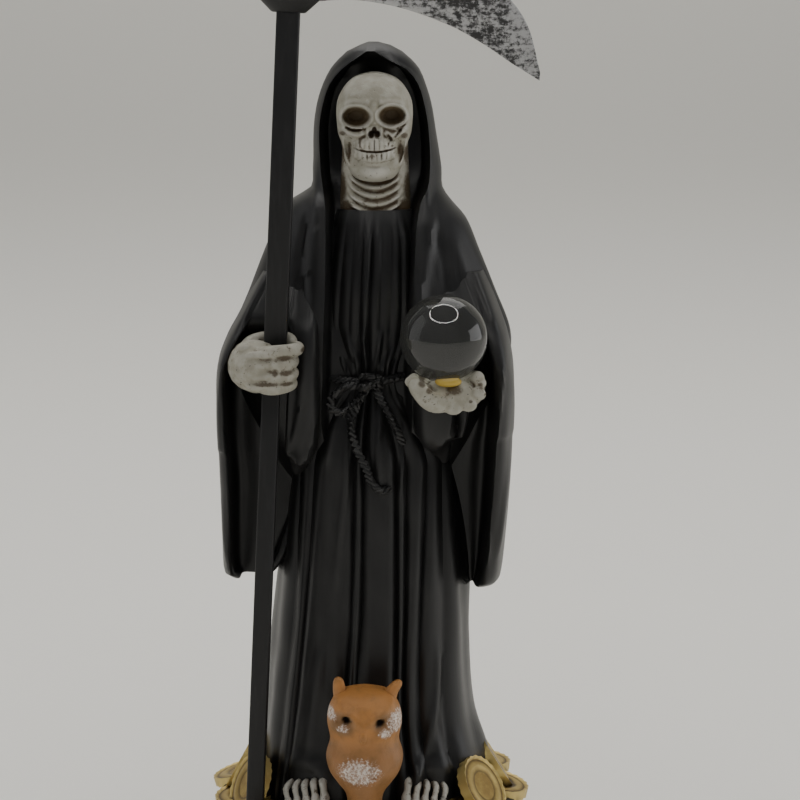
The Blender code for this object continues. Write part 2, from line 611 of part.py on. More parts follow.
def shaft_foot():
    """Height of the shaft's foot in the scythe's own frame, just clear of the base."""
    rise = SHAFT_LOWER_WIDTH * math.sin(SHAFT_LEAN)
    return (BASE_HEIGHT + CLEARANCE + rise - at(*GRIP).z) / math.cos(SHAFT_LEAN)


def shaft_bars(collection, name, grow=0.0):
    """The shaft's two widths, bevelled, made larger all round by grow."""
    foot = shaft_foot()
    shift = (SHAFT_UPPER_WIDTH - SHAFT_LOWER_WIDTH) / 2
    bars = []
    for part, low, high, width, middle in (("lower", foot - grow, SHAFT_STEP + SHAFT_EDGE, SHAFT_LOWER_WIDTH, -shift),
                                           ("upper", SHAFT_STEP - grow, foot + SHAFT_LENGTH, SHAFT_UPPER_WIDTH, 0.0)):
        bm = bmesh.new()
        bmesh.ops.create_cube(bm, size=1.0)
        for vert in bm.verts:
            vert.co = Vector((middle + vert.co.x * (width + 2 * grow), vert.co.y * (SHAFT_DEPTH + 2 * grow),
                              low + (vert.co.z + 0.5) * (high - low)))
        long_edges = [e for e in bm.edges if abs(e.verts[0].co.z - e.verts[1].co.z) > SHAFT_DEPTH]
        bmesh.ops.bevel(bm, geom=long_edges, offset=SHAFT_EDGE, segments=1, profile=0.5, affect="EDGES",
                        material=-1)
        bmesh.ops.transform(bm, matrix=shaft_frame(), verts=bm.verts)
        bars.append(solid_from(bm, "%s_%s" % (name, part), collection))
    return combine(bars[0], bars[1:], "UNION")


def collar(collection):
    bm = bmesh.new()
    bmesh.ops.create_cone(bm, cap_ends=True, segments=16, radius1=SHAFT_UPPER_WIDTH * 0.72,
                          radius2=COLLAR_WIDTH / 2, depth=COLLAR_HEIGHT)
    for vert in bm.verts:
        vert.co = Vector((vert.co.x, vert.co.y * 0.62, shaft_foot() + SHAFT_LENGTH + vert.co.z - COLLAR_HEIGHT / 2))
    bmesh.ops.transform(bm, matrix=shaft_frame(), verts=bm.verts)
    return solid_from(bm, "collar", collection)


# along the blade as a share of its length, lower and upper edge as shares of its width
BLADE = [
    (-0.23, 0.34, 0.44),
    (-0.19, 0.12, 0.68),
    (-0.10, -0.02, 0.88),
    (0.06, -0.03, 0.98),
    (0.25, 0.03, 1.00),
    (0.44, -0.05, 0.92),
    (0.64, -0.27, 0.68),
    (0.78, -0.52, 0.38),
    (0.88, -0.74, 0.10),
    (0.95, -0.88, -0.28),
    (1.00, -0.98, -0.86),
]


def blade(collection):
    """A flat crescent, thick along its upper back and drawn out to an edge below."""
    base_line = shaft_foot() + SHAFT_LENGTH

    def place(u, share):
        low, high = smooth(BLADE, share) * BLADE_WIDTH
        turn = 2 * math.pi * u
        across = 0.5 - 0.5 * math.cos(turn)
        thick = BLADE_THICKNESS / 2 * power(math.sin(turn), 0.7) * (0.4 + 0.6 * across)
        thick *= 0.25 + 0.75 * ramp(share, 1.0, 0.6)
        return shaft_frame() @ Vector((share * BLADE_LENGTH, thick, base_line + low + (high - low) * across))

    return tube("blade", even(11)[:-1], levels(BLADE, 1), place, collection)


# Ball

def ball(collection, name, grow=0.0):
    """The ball, or with grow its seat in the hand."""
    bm = bmesh.new()
    bmesh.ops.create_uvsphere(bm, u_segments=24, v_segments=12, radius=BALL_DIAMETER / 2 + grow)
    bmesh.ops.translate(bm, vec=at(*PALM_SEAT) + Vector((0, 0, BALL_DIAMETER / 2)), verts=bm.verts)
    return solid_from(bm, name, collection)


# Assembly

def material(name, colour, roughness, transmission=0.0):
    made = bpy.data.materials.new(name)
    made.use_nodes = True
    shader = made.node_tree.nodes["Principled BSDF"]
    shader.inputs["Base Color"].default_value = (*colour, 1.0)
    shader.inputs["Roughness"].default_value = roughness
    shader.inputs["Transmission Weight"].default_value = transmission
    return made


def combine(obj, others, operation, solver="EXACT"):
    """Join or cut a list of solids, one after another, and drop them."""
    for other in others:
        modifier = obj.modifiers.new(operation.lower(), "BOOLEAN")
        modifier.operation = operation
        modifier.solver = solver
        modifier.object = other
        bpy.context.view_layer.update()
        bm = bmesh.new()
        bm.from_object(obj, bpy.context.evaluated_depsgraph_get())
        bmesh.ops.triangulate(bm, faces=bm.faces)
        obj.modifiers.clear()
        bm.to_mesh(obj.data)
        bm.free()
        bpy.data.objects.remove(other)
    return obj


def islands(bm):
    """The separate shells of a bmesh, each a list of faces."""
    left = set(bm.faces)
    found = []
    while left:
        shell = [left.pop()]
        for face in shell:
            for neighbour in {f for edge in face.edges for f in edge.link_faces} & left:
                left.remove(neighbour)
                shell.append(neighbour)
        found.append(shell)
    return found


def fill_cavities(obj):
    """Resin fills every pocket that overlapping forms close off, so the inward shells go."""
    bm = bmesh.new()
    bm.from_mesh(obj.data)
    bmesh.ops.triangulate(bm, faces=bm.faces)
    for shell in islands(bm):
        volume = sum(f.verts[0].co.dot(f.verts[1].co.cross(f.verts[2].co)) for f in shell) / 6
        if volume < 0:
            bmesh.ops.delete(bm, geom=shell, context="FACES")
    bm.to_mesh(obj.data)
    bm.free()


def thin_out(obj, faces):
    """Collapse the short edges along the joins until about this many triangles are left."""
    modifier = obj.modifiers.new("thin", "DECIMATE")
    modifier.ratio = min(faces / len(obj.data.polygons), 1.0)
    bpy.context.view_layer.update()
    bm = bmesh.new()
    bm.from_object(obj, bpy.context.evaluated_depsgraph_get())
    bmesh.ops.triangulate(bm, faces=bm.faces)
    obj.modifiers.clear()
    bm.to_mesh(obj.data)
    bm.free()


def finish(obj, name, look, collection, shapes):
    obj.name = name
    obj.data.name = name
    obj.data.materials.clear()
    obj.data.materials.append(look)
    shapes.objects.unlink(obj)
    collection.objects.link(obj)
    obj.data.shade_smooth()
    obj.data.set_sharp_from_angle(angle=math.radians(40))


def main():
    for old in list(bpy.data.objects):
        bpy.data.objects.remove(old)
    statue = bpy.data.collections.new("santa_muerte_statue")
    shapes = bpy.data.collections.new("shapes")
    for collection in (statue, shapes):
        bpy.context.scene.collection.children.link(collection)

    figure = gown(shapes)
    skull_forms, skull_holes = skull(shapes)
    owl_forms, owl_holes = owl(shapes)
    forms = [cloak(shapes), sleeve("left_sleeve", LEFT_SLEEVE, LEFT_WALL, shapes),
             sleeve("right_sleeve", RIGHT_SLEEVE, RIGHT_WALL, shapes), neck(shapes), base(shapes)]
    forms += skull_forms + fist(shapes) + cupped_hand(shapes) + rope_belt(shapes)
    forms += owl_forms + feet(shapes) + coins(shapes)
    combine(figure, forms, "UNION", "MANIFOLD")
    fill_cavities(figure)
    thin_out(figure, CASTING_FACES)
    holes = skull_holes + owl_holes + [shaft_bars(shapes, "hole", CLEARANCE), ball(shapes, "seat", CLEARANCE)]
    combine(figure, holes, "DIFFERENCE", "MANIFOLD")
    finish(figure, "figure", material("painted_resin", (0.02, 0.02, 0.022), 0.38), statue, shapes)

    scythe = combine(shaft_bars(shapes, "shaft"), [collar(shapes), blade(shapes)], "UNION")
    finish(scythe, "scythe", material("black_plastic", (0.025, 0.025, 0.03), 0.42), statue, shapes)

    crystal = ball(shapes, "crystal_ball")
    finish(crystal, "crystal_ball", material("clear_glass", (1.0, 1.0, 1.0), 0.02, 1.0), statue, shapes)


main()
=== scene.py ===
import math

import bmesh
import bpy
import numpy as np
from mathutils import Matrix, Vector
from mathutils.bvhtree import BVHTree


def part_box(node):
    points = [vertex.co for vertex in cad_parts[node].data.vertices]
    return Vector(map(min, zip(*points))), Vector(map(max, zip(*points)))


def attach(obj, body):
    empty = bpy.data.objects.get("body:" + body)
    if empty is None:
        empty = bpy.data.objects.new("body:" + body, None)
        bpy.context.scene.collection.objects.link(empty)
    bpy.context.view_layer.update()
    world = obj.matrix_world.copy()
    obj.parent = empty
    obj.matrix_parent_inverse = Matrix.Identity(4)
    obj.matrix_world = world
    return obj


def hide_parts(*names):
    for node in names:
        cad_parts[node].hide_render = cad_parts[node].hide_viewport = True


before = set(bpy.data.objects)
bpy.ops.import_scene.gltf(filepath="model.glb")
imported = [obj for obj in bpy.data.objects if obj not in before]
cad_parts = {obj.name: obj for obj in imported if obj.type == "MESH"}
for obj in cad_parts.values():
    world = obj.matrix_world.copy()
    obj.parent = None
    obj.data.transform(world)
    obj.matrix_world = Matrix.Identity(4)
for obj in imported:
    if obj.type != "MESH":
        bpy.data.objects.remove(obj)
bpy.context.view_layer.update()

# The forms are drawn in millimetres on a figure 229 tall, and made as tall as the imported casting
FIGURE_LOW, FIGURE_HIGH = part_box("figure")
DRAWN_TOP = 229.0
UNIT = (FIGURE_HIGH[2] - FIGURE_LOW[2]) / DRAWN_TOP

BASE_SIZE = (88.0, 90.0, 12.0)
BASE_FORWARD = 6.0
GRIP = (-24.9, -31.5, 143.0)       # where the shaft's axis passes the fist
PALM_SEAT = (21.0, -36.0, 138.4)   # lowest point of the ball
BALL_RADIUS = 11.85
CLEARANCE = 0.3

# Camera of the photograph
CAMERA_PLACE = (0.00923, -0.600, 0.232)
CAMERA_PITCH = math.radians(90 - 9.926)
CAMERA_LENS = 95.0
CAMERA_SENSOR = 36.0

CLOTH, BONE, OWL_PAINT, GOLD, BASE_PAINT = range(5)


# Curves and grids

def curve(table, keys):
    """The columns of a short table at the keys, on smooth curves through its rows."""
    rows = np.array(table, float)
    x, y = rows[:, 0], rows[:, 1:]
    keys = np.clip(np.asarray(keys, float), x[0], x[-1])
    ahead, behind = np.minimum(np.arange(len(x)) + 1, len(x) - 1), np.maximum(np.arange(len(x)) - 1, 0)
    slope = (y[ahead] - y[behind]) / (x[ahead] - x[behind])[:, None]
    low = np.clip(np.searchsorted(x, keys, side="right") - 1, 0, len(x) - 2)
    span = (x[low + 1] - x[low])[..., None]
    t = (keys[..., None] - x[low][..., None]) / span
    found = ((2 * t ** 3 - 3 * t ** 2 + 1) * y[low] + (t ** 3 - 2 * t ** 2 + t) * slope[low] * span
             + (3 * t ** 2 - 2 * t ** 3) * y[low + 1] + (t ** 3 - t ** 2) * slope[low + 1] * span)
    return np.moveaxis(found, -1, 0)


def ring(points, u):
    """Points at u, from 0 to 1, on closed smooth curves: points is a list of (x, y) arrays."""
    count = len(points)
    stack = np.array([np.broadcast_arrays(*pair, u)[:2] for pair in points])
    index = np.floor(u * count).astype(int) % count
    t = u * count - np.floor(u * count)
    each = np.arange(len(u))
    p0, p1, p2, p3 = (stack[(index + k) % count, :, each].T for k in (-1, 0, 1, 2))
    return 0.5 * (2 * p1 + (p2 - p0) * t + (2 * p0 - 5 * p1 + 4 * p2 - p3) * t ** 2
                  + (3 * p1 - p0 - 3 * p2 + p3) * t ** 3)


def bump(distance, width):
    """Rounded ridges one unit high, which end at the width."""
    return np.cos(0.5 * np.pi * np.minimum(np.abs(distance) / width, 1.0)) ** 2


def ramp(value, low, high):
    """From 0 at low to 1 at high, eased."""
    t = np.clip((value - low) / (high - low), 0.0, 1.0)
    return t * t * (3 - 2 * t)


def power(value, exponent):
    """A power that keeps the value's sign."""
    return np.sign(value) * np.abs(value) ** exponent


def oval(x, z, middle, half):
    """Distance from an oval's middle as a share of its half sizes."""
    return np.hypot((x - middle[0]) / half[0], (z - middle[1]) / half[1])


def levels(table, spacing):
    """Heights from a table's first to its last, evenly spaced but with the table's own kept."""
    found = [table[0][0]]
    for low, high in zip(table, table[1:]):
        steps = max(1, round((high[0] - low[0]) / spacing))
        found += [low[0] + (high[0] - low[0]) * (k + 1) / steps for k in range(steps)]
    return np.array(found)


def strokes(x, z, lines):
    """Height over the front view of carved lines: each a list of points, a width and a height."""
    total = np.zeros_like(x)
    for points, width, height in lines:
        keys = np.linspace(0, len(points) - 1, 6 * (len(points) - 1) + 1)
        line_x, line_z = curve([(i,) + p for i, p in enumerate(points)], keys)
        nearest = np.full(x.shape, np.inf)
        along = np.zeros_like(x)
        for k in range(len(keys) - 1):
            ax, az = line_x[k], line_z[k]
            bx, bz = line_x[k + 1] - ax, line_z[k + 1] - az
            t = np.clip(((x - ax) * bx + (z - az) * bz) / (bx * bx + bz * bz), 0, 1)
            gap = np.hypot(x - ax - t * bx, z - az - t * bz)
            closer = gap < nearest
            nearest = np.where(closer, gap, nearest)
            along = np.where(closer, (k + t) / (len(keys) - 1), along)
        total += height * bump(nearest, width) * np.clip(7 * np.minimum(along, 1 - along) + 0.15, 0, 1)
    return total


def mesh_object(bm, name):
    """An object of the scene from this bmesh."""
    bmesh.ops.remove_doubles(bm, verts=bm.verts, dist=1e-6)
    bmesh.ops.holes_fill(bm, edges=bm.edges, sides=0)
    bmesh.ops.recalc_face_normals(bm, faces=bm.faces)
    mesh = bpy.data.meshes.new(name)
    bm.to_mesh(mesh)
    bm.free()
    obj = bpy.data.objects.new(name, mesh)
    bpy.context.scene.collection.objects.link(obj)
    return obj


def form(name, around, up, place, paint):
    """A closed form from a grid: place(u, v) gives x, y, z, u runs round it and v up it."""
    bm = bmesh.new()
    bmesh.ops.create_grid(bm, x_segments=len(around), y_segments=len(up) - 1, size=0.5)
    grid = np.array([vert.co[:2] for vert in bm.verts]) + 0.5
    u = np.asarray(around)[np.rint(grid[:, 0] * len(around)).astype(int) % len(around)]
    v = np.asarray(up)[np.rint(grid[:, 1] * (len(up) - 1)).astype(int)]
    places = np.array(np.broadcast_arrays(*place(u, v))).T * UNIT
    for vert, spot in zip(bm.verts, places):
        vert.co = spot
    for face in bm.faces:
        face.material_index = paint
    return mesh_object(bm, name)


def limb(name, route, paint, around=16, along=24, flat=1.0):
    """A finger, toe or cord: rows of a point and a radius, with rounded ends."""
    table = [(i,) + tuple(row) for i, row in enumerate(route)]
    last = len(route) - 1

    def place(u, v):
        x, y, z, radius = curve(table, v * last)
        ahead = curve(table, np.minimum(v * last + 0.05, last))[:3]
        axis = ahead - curve(table, np.maximum(v * last - 0.05, 0))[:3]
        axis /= np.linalg.norm(axis, axis=0)
        side = np.cross(axis.T, (0.13, 0.21, 1.0)).T
        side /= np.linalg.norm(side, axis=0)
        lift = np.cross(side.T, axis.T).T
        swell = np.sqrt(np.maximum(1 - np.abs(2 * v - 1) ** 6, 0.0))
        turn = 2 * np.pi * u
        return np.array((x, y, z)) + (side * np.cos(turn) + lift * np.sin(turn) * flat) * radius * swell

    ends = 0.5 - 0.5 * np.cos(np.pi * np.linspace(0.04, 0.96, along + 1))
    return form(name, np.linspace(0, 1, around + 1)[:-1], ends, place, paint)


def egg(name, paint, middle, half, around=24, down=16):
    """A closed egg-shaped form."""
    bm = bmesh.new()
    bmesh.ops.create_uvsphere(bm, u_segments=around, v_segments=down, radius=1.0)
    for vert in bm.verts:
        vert.co = Vector([(middle[i] + vert.co[i] * half[i]) * UNIT for i in range(3)])
    for face in bm.faces:
        face.material_index = paint
    return mesh_object(bm, name)


def joined(name, objects):
    """Some forms made one mesh."""
    bm = bmesh.new()
    for obj in objects:
        bm.from_mesh(obj.data)
        bpy.data.objects.remove(obj)
    mesh = bpy.data.meshes.new(name)
    bm.to_mesh(mesh)
    bm.free()
    made = bpy.data.objects.new(name, mesh)
    bpy.context.scene.collection.objects.link(made)
    return made


# How fine the skin over a hand is
HAND_GRAIN = 0.42


def cast(name, objects, paint, grain, smoothing):
    """Some forms run together into one skin, as in a casting."""
    made = joined(name, objects)
    remesh = made.modifiers.new("skin", "REMESH")
    remesh.mode = "VOXEL"
    remesh.voxel_size = grain * UNIT
    smooth = made.modifiers.new("smooth", "SMOOTH")
    smooth.factor = 0.5
    smooth.iterations = smoothing
    bpy.context.view_layer.update()
    bm = bmesh.new()
    bm.from_object(made, bpy.context.evaluated_depsgraph_get())
    made.modifiers.clear()
    for face in bm.faces:
        face.material_index = paint
    bm.to_mesh(made.data)
    bm.free()
    return made


# Gown

# height, middle in x, half width, front, back
GOWN = [
    (13.5, 1.7, 33.6, -29.5, 25.0), (21.0, 2.0, 32.6, -29.0, 24.2), (36.0, 0.3, 29.6, -26.6, 22.5),
    (58.0, 0.4, 27.8, -24.8, 21.0), (82.0, 1.6, 26.3, -23.6, 19.5), (112.0, 1.4, 22.5, -22.4, 17.8),
    (124.0, 1.2, 18.5, -21.4, 16.8), (135.0, 1.2, 16.0, -19.8, 15.5), (145.0, 1.4, 16.0, -20.4, 14.5),
    (160.0, 1.8, 15.6, -20.8, 14.0), (175.0, 2.3, 14.0, -18.8, 12.0), (181.0, 2.3, 12.2, -17.2, 9.4),
    (183.0, 2.3, 11.2, -16.4, 8.4),
]
# Fold lines of the front, left to right: x at four heights, and how far the line stands out
FOLD_HEIGHTS = (15.0, 40.0, 72.0, 112.0)
FOLD_LINES = [
    (-31.2, -28.2, -25.0, -21.0, 0.0), (-29.0, -26.4, -22.8, -19.8, 1.3), (-27.0, -24.0, -20.5, -18.8, 0.0),
    (-25.0, -22.0, -18.7, -17.2, 1.7), (-24.0, -20.6, -17.4, -14.8, 0.0), (-22.6, -19.0, -15.6, -12.2, 2.2),
    (-15.0, -13.0, -11.0, -8.6, 1.7), (-8.5, -8.0, -7.0, -5.5, 1.1), (-5.5, -6.2, -4.6, -3.6, 0.0),
    (-3.5, -5.0, -3.2, -2.2, 1.5), (-1.5, -3.2, -1.5, -0.9, 0.0), (2.0, 1.6, 1.6, 1.6, 1.6),
    (5.5, 5.6, 5.8, 5.6, 1.9), (8.0, 7.8, 8.4, 8.1, 0.0), (11.0, 9.0, 9.4, 9.6, 1.7),
    (13.0, 10.4, 10.8, 11.2, 0.0), (15.0, 12.0, 12.9, 15.0, 2.1), (18.0, 15.0, 15.2, 17.0, 0.0),
    (22.0, 18.8, 17.6, 19.4, 2.2), (26.0, 21.6, 21.6, 21.0, 0.0), (30.0, 25.0, 24.5, 22.6, 1.9),
    (33.6, 28.4, 26.6, 23.4, 0.0),
]
LAST_FOLD = len(FOLD_LINES) - 1
BREAST_TOP = 181.6
KNOT = (1.2, 136.0)
PLEAT_HEIGHT = 1.0
BACK_FOLDS = 6
BACK_FOLD_HEIGHT = 1.8

# Carved lines in the front view: points, width, height
GOWN_STROKES = [
    ([(-9.7, 143.0), (-5.0, 140.0), (-1.5, 137.4)], 1.5, 1.3),
    ([(-9.0, 139.2), (-5.4, 138.2), (-2.0, 136.8)], 1.2, 1.1),
    ([(-5.6, 148.0), (-3.6, 142.6), (-0.6, 138.4)], 1.4, 1.3),
    ([(-1.2, 150.0), (-0.6, 143.6), (0.6, 138.6)], 1.2, 1.1),
    ([(3.8, 150.0), (3.2, 143.6), (2.2, 138.4)], 1.2, 1.2),
    ([(8.6, 145.5), (5.6, 141.0), (3.0, 137.6)], 1.4, 1.3),
    ([(11.8, 141.4), (7.6, 139.2), (4.0, 137.2)], 1.3, 1.2),
    ([(12.5, 138.6), (8.6, 137.6), (5.0, 136.4)], 1.0, 0.9),
    ([(10.6, 134.5), (8.5, 126.0), (10.2, 118.0), (9.4, 104.0)], 1.1, 0.8),
    ([(-8.6, 132.0), (-9.2, 124.0), (-11.4, 112.0)], 1.4, 1.0),
    ([(4.4, 131.0), (3.4, 120.0), (3.8, 106.0)], 1.2, 0.8),
    ([(-5.4, 122.0), (-5.8, 108.0), (-7.6, 92.0), (-8.6, 76.0)], 1.6, 0.8),
    ([(20.0, 62.0), (19.6, 46.0), (17.0, 32.0), (12.6, 20.0)], 1.6, 1.1),
    ([(19.6, 40.0), (21.0, 33.0), (26.0, 22.0)], 1.1, -0.9),
    ([(-13.0, 60.0), (-15.0, 44.0), (-17.4, 30.0)], 1.8, 0.9),
    ([(-24.0, 25.0), (-19.0, 27.4), (-13.6, 25.4), (-11.4, 19.0)], 2.6, 1.4),
    ([(9.0, 18.0), (15.0, 24.6), (22.0, 25.6), (27.0, 20.0)], 2.8, 1.4),
]


def fold_lines(index, z):
    """Place across the front and outward height of fold lines at heights."""
    each = np.arange(len(z))
    lines = curve([(h,) + tuple(line[i] for line in FOLD_LINES) for i, h in enumerate(FOLD_HEIGHTS)], z)
    x = lines[index, each]
    middle, half = curve(GOWN, z)[:2]
    waist_middle, waist_half = curve(GOWN, FOLD_HEIGHTS[-1])[:2]
    x = np.where(z > FOLD_HEIGHTS[-1], middle + (x - waist_middle) / waist_half * half, x)
    gathered = ramp(z, FOLD_HEIGHTS[-1], KNOT[1] + 4)
    x += (middle + half * (2 * index / LAST_FOLD - 1) * 0.96 - x) * gathered
    x += (KNOT[0] - x) * 0.35 * bump(z - KNOT[1], 16.0)
    heights = np.array([line[-1] for line in FOLD_LINES])[index]
    pleat = PLEAT_HEIGHT * (index % 2) * ramp(z, BREAST_TOP, BREAST_TOP - 8)
    pleat = pleat * (0.7 + 0.5 * np.sin(2.3 * index))
    return x, heights * (1 - gathered) + pleat * gathered


def gown():
    """A straight robe from neckline to hem, its cloth carved in long folds."""
    def place(c, z):
        middle, half, front, back = curve(GOWN, z)
        deep_middle, deep_half = (front + back) / 2, (back - front) / 2
        index = np.clip(np.floor(c), 0, LAST_FOLD - 1).astype(int)
        x0, height0 = fold_lines(index, z)
        x1, height1 = fold_lines(index + 1, z)
        part = np.clip(c - index, 0, 1)
        eased = np.where(height1 > height0, np.sin(np.pi / 2 * part), 1 - np.cos(np.pi / 2 * part))
        x, relief = x0 + (x1 - x0) * part, height0 + (height1 - height0) * eased
        across = np.clip((x - middle) / half, -0.99, 0.99)
        y = deep_middle - deep_half * (1 - np.abs(across) ** 2.6) ** (1 / 2.6)
        relief += strokes(x, z, GOWN_STROKES) + 0.16 * np.sin(0.21 * z + 0.9 * x) * np.sin(0.13 * z - 0.4 * x)
        front_x, front_y = x + relief * 0.5 * power(across, 3), y - relief * (1 - 0.7 * across ** 2)

        way = np.clip(c - LAST_FOLD, 0, 1)
        right, left = (np.arcsin(np.clip((fold_lines(np.full(len(z), i), z)[0] - middle) / half, -0.99, 0.99))
                       for i in (LAST_FOLD, 0))
        turn = right + (2 * np.pi + left - right) * way
        folds = 0.5 - 0.5 * np.cos(2 * np.pi * BACK_FOLDS * way + 0.5 * np.sin(z / 26) * bump(way - 0.5, 0.5))
        swell = BACK_FOLD_HEIGHT * folds ** 0.8 * ramp(z, 176.0, 100.0)
        swell = swell * np.minimum(1, 9 * np.minimum(way, 1 - way))
        back_x = middle + (half + swell) * np.sin(turn)
        back_y = deep_middle - (deep_half + swell) * power(np.cos(turn), 0.77)
        behind = c > LAST_FOLD
        return np.where(behind, back_x, front_x), np.where(behind, back_y, front_y), z

    front = np.linspace(0, LAST_FOLD, LAST_FOLD * 5 + 1)
    back = LAST_FOLD + np.linspace(0, 1, 56)[1:-1]
    return form("gown", np.concatenate((front, back)), levels(GOWN, 2.0), place, CLOTH)


# Cloak: hood, shoulders and upper arms, hollowed between its two front edges

# height, left, right, front, back, left edge, right edge, depth of the hollow
CLOAK = [
    (100.0, -19.0, 19.0, -14.0, 12.0, -8.0, 8.0, 0.5),
    (122.0, -32.0, 32.0, -21.5, 18.0, -12.5, 12.5, 2.0),
    (138.0, -38.5, 38.5, -25.0, 19.5, -12.2, 12.4, 5.0),
    (148.0, -38.3, 39.6, -25.5, 19.5, -11.9, 12.8, 6.0),
    (160.0, -33.6, 35.6, -24.0, 19.0, -11.5, 13.1, 6.0),
    (172.0, -28.8, 31.2, -21.6, 18.0, -11.3, 13.4, 6.5),
    (180.0, -25.0, 27.9, -19.6, 17.5, -11.3, 14.0, 7.5),
    (185.0, -21.6, 23.6, -18.0, 17.5, -11.5, 15.0, 9.0),
    (188.5, -16.0, 21.3, -17.0, 17.5, -12.2, 16.5, 10.0),
    (194.0, -15.4, 21.0, -15.6, 18.0, -12.9, 17.6, 11.0),
    (205.0, -15.2, 19.3, -14.0, 18.0, -13.3, 17.2, 11.0),
    (212.0, -14.2, 18.1, -13.2, 17.0, -12.2, 16.0, 10.5),
    (217.5, -12.4, 16.4, -12.8, 15.0, -10.2, 14.2, 9.5),
    (221.5, -10.3, 14.7, -12.4, 12.5, -6.9, 11.0, 8.0), (224.3, -7.9, 12.3, -11.8, 9.5, -3.2, 5.6, 5.5),
    (226.4, -5.6, 9.8, -11.0, 6.5, 0.0, 2.2, 0.0), (228.1, -2.0, 6.6, -8.0, 2.5, 0.1, 2.3, 0.0),
    (229.0, 0.4, 3.2, -4.5, -1.0, 1.0, 2.2, 0.0),
]
CLOAK_FOLDS = 5
CLOAK_FOLD_HEIGHT = 1.0
EDGE_ROLL = 0.6
CLOAK_STROKES = [
    ([(-14.4, 196.0), (-14.0, 184.0), (-13.6, 172.0), (-13.2, 156.0), (-12.8, 140.0)], 1.8, 0.9),
    ([(-17.0, 182.0), (-18.0, 170.0), (-18.4, 158.0), (-18.0, 146.0)], 1.3, -1.2),
    ([(-16.2, 178.0), (-15.8, 165.0), (-15.4, 150.0)], 1.6, 0.8),
    ([(-24.0, 172.0), (-27.6, 162.0), (-30.4, 154.0)], 1.8, 0.7),
    ([(-28.0, 160.0), (-30.6, 155.4), (-31.6, 150.8)], 1.1, 1.1),
    ([(-31.0, 158.4), (-33.2, 153.6), (-33.6, 149.6)], 1.0, 0.9),
    ([(18.4, 184.0), (17.6, 176.0), (16.0, 166.0), (14.8, 152.0)], 1.7, 1.1),
    ([(15.6, 196.0), (16.8, 188.0), (15.4, 176.0), (14.6, 160.0), (14.2, 144.0)], 1.5, 0.8),
    ([(19.4, 178.0), (21.6, 168.0), (22.4, 158.0)], 1.5, -0.7),
    ([(24.0, 176.0), (27.6, 166.0), (30.6, 157.0)], 2.0, 0.6),
    ([(27.6, 153.4), (32.6, 151.4), (37.0, 152.2)], 1.1, 1.0),
    ([(28.6, 149.2), (33.6, 148.8), (38.4, 149.8)], 1.0, 1.0),
    ([(30.0, 145.4), (34.6, 145.6), (38.8, 146.6)], 1.0, 0.8),
]


def cloak():
    """Hood, shoulders and upper arms as one form, with its front hollowed out."""
    def place(c, z):
        left, right, front, back, edge_left, edge_right, depth = curve(CLOAK, z)
        middle, half = (left + right) / 2, (right - left) / 2
        deep_middle, deep_half = (front + back) / 2, (back - front) / 2

        def front_at(x):
            out = np.minimum(np.abs((x - middle) / half), 1)
            return deep_middle - deep_half * (1 - out ** 2.4) ** (1 / 2.4)

        way = np.clip(c - 1, 0, 1)
        hollow_x = edge_left + (edge_right - edge_left) * way
        hollow_y = front_at(hollow_x) + depth * ramp(np.minimum(way, 1 - way), 0.0, 0.09)
        way = np.clip(c, 0, 1)
        start, end = np.arcsin((edge_right - middle) / half), np.arcsin((edge_left - middle) / half)
        turn = start + (2 * np.pi + end - start) * way
        x = middle + half * np.sin(turn)
        facing = np.cos(turn) > 0
        y = np.where(facing, front_at(x), deep_middle - deep_half * power(np.cos(turn), 0.85))
        fold = CLOAK_FOLD_HEIGHT * np.cos(CLOAK_FOLDS * turn + 0.9 * np.sin(z / 30.0))
        fold += 0.45 * np.cos(13 * turn + 1.4 * np.sin(z / 22.0)) * ramp(z, 196.0, 140.0)
        fold *= ramp(z, 188.0, 150.0) * np.minimum(1, 6 * np.minimum(way, 1 - way))
        roll = EDGE_ROLL * bump(np.minimum(way, 1 - way), 0.05) * ramp(z, 226.0, 222.0)
        carved = strokes(x, z, CLOAK_STROKES) * facing
        cloth_x = x + (fold + 0.5 * carved) * np.sin(turn)
        cloth_y = y - fold * np.cos(turn) - roll - carved
        inside = c > 1
        return np.where(inside, hollow_x, cloth_x), np.where(inside, hollow_y, cloth_y), z

    cloth = np.concatenate((np.linspace(0, 0.06, 7), np.linspace(0.06, 0.94, 92)[1:-1],
                            np.linspace(0.94, 1, 7)))
    hollow = 1 + np.concatenate((np.linspace(0, 0.1, 5)[1:], np.linspace(0.1, 0.9, 7)[1:-1],
                                 np.linspace(0.9, 1, 5)[:-1]))
    return form("cloak", np.concatenate((cloth, hollow)), levels(CLOAK, 1.6), place, CLOTH)


# Bell sleeves: a wall that hangs from the forearm round a hollow open to the front

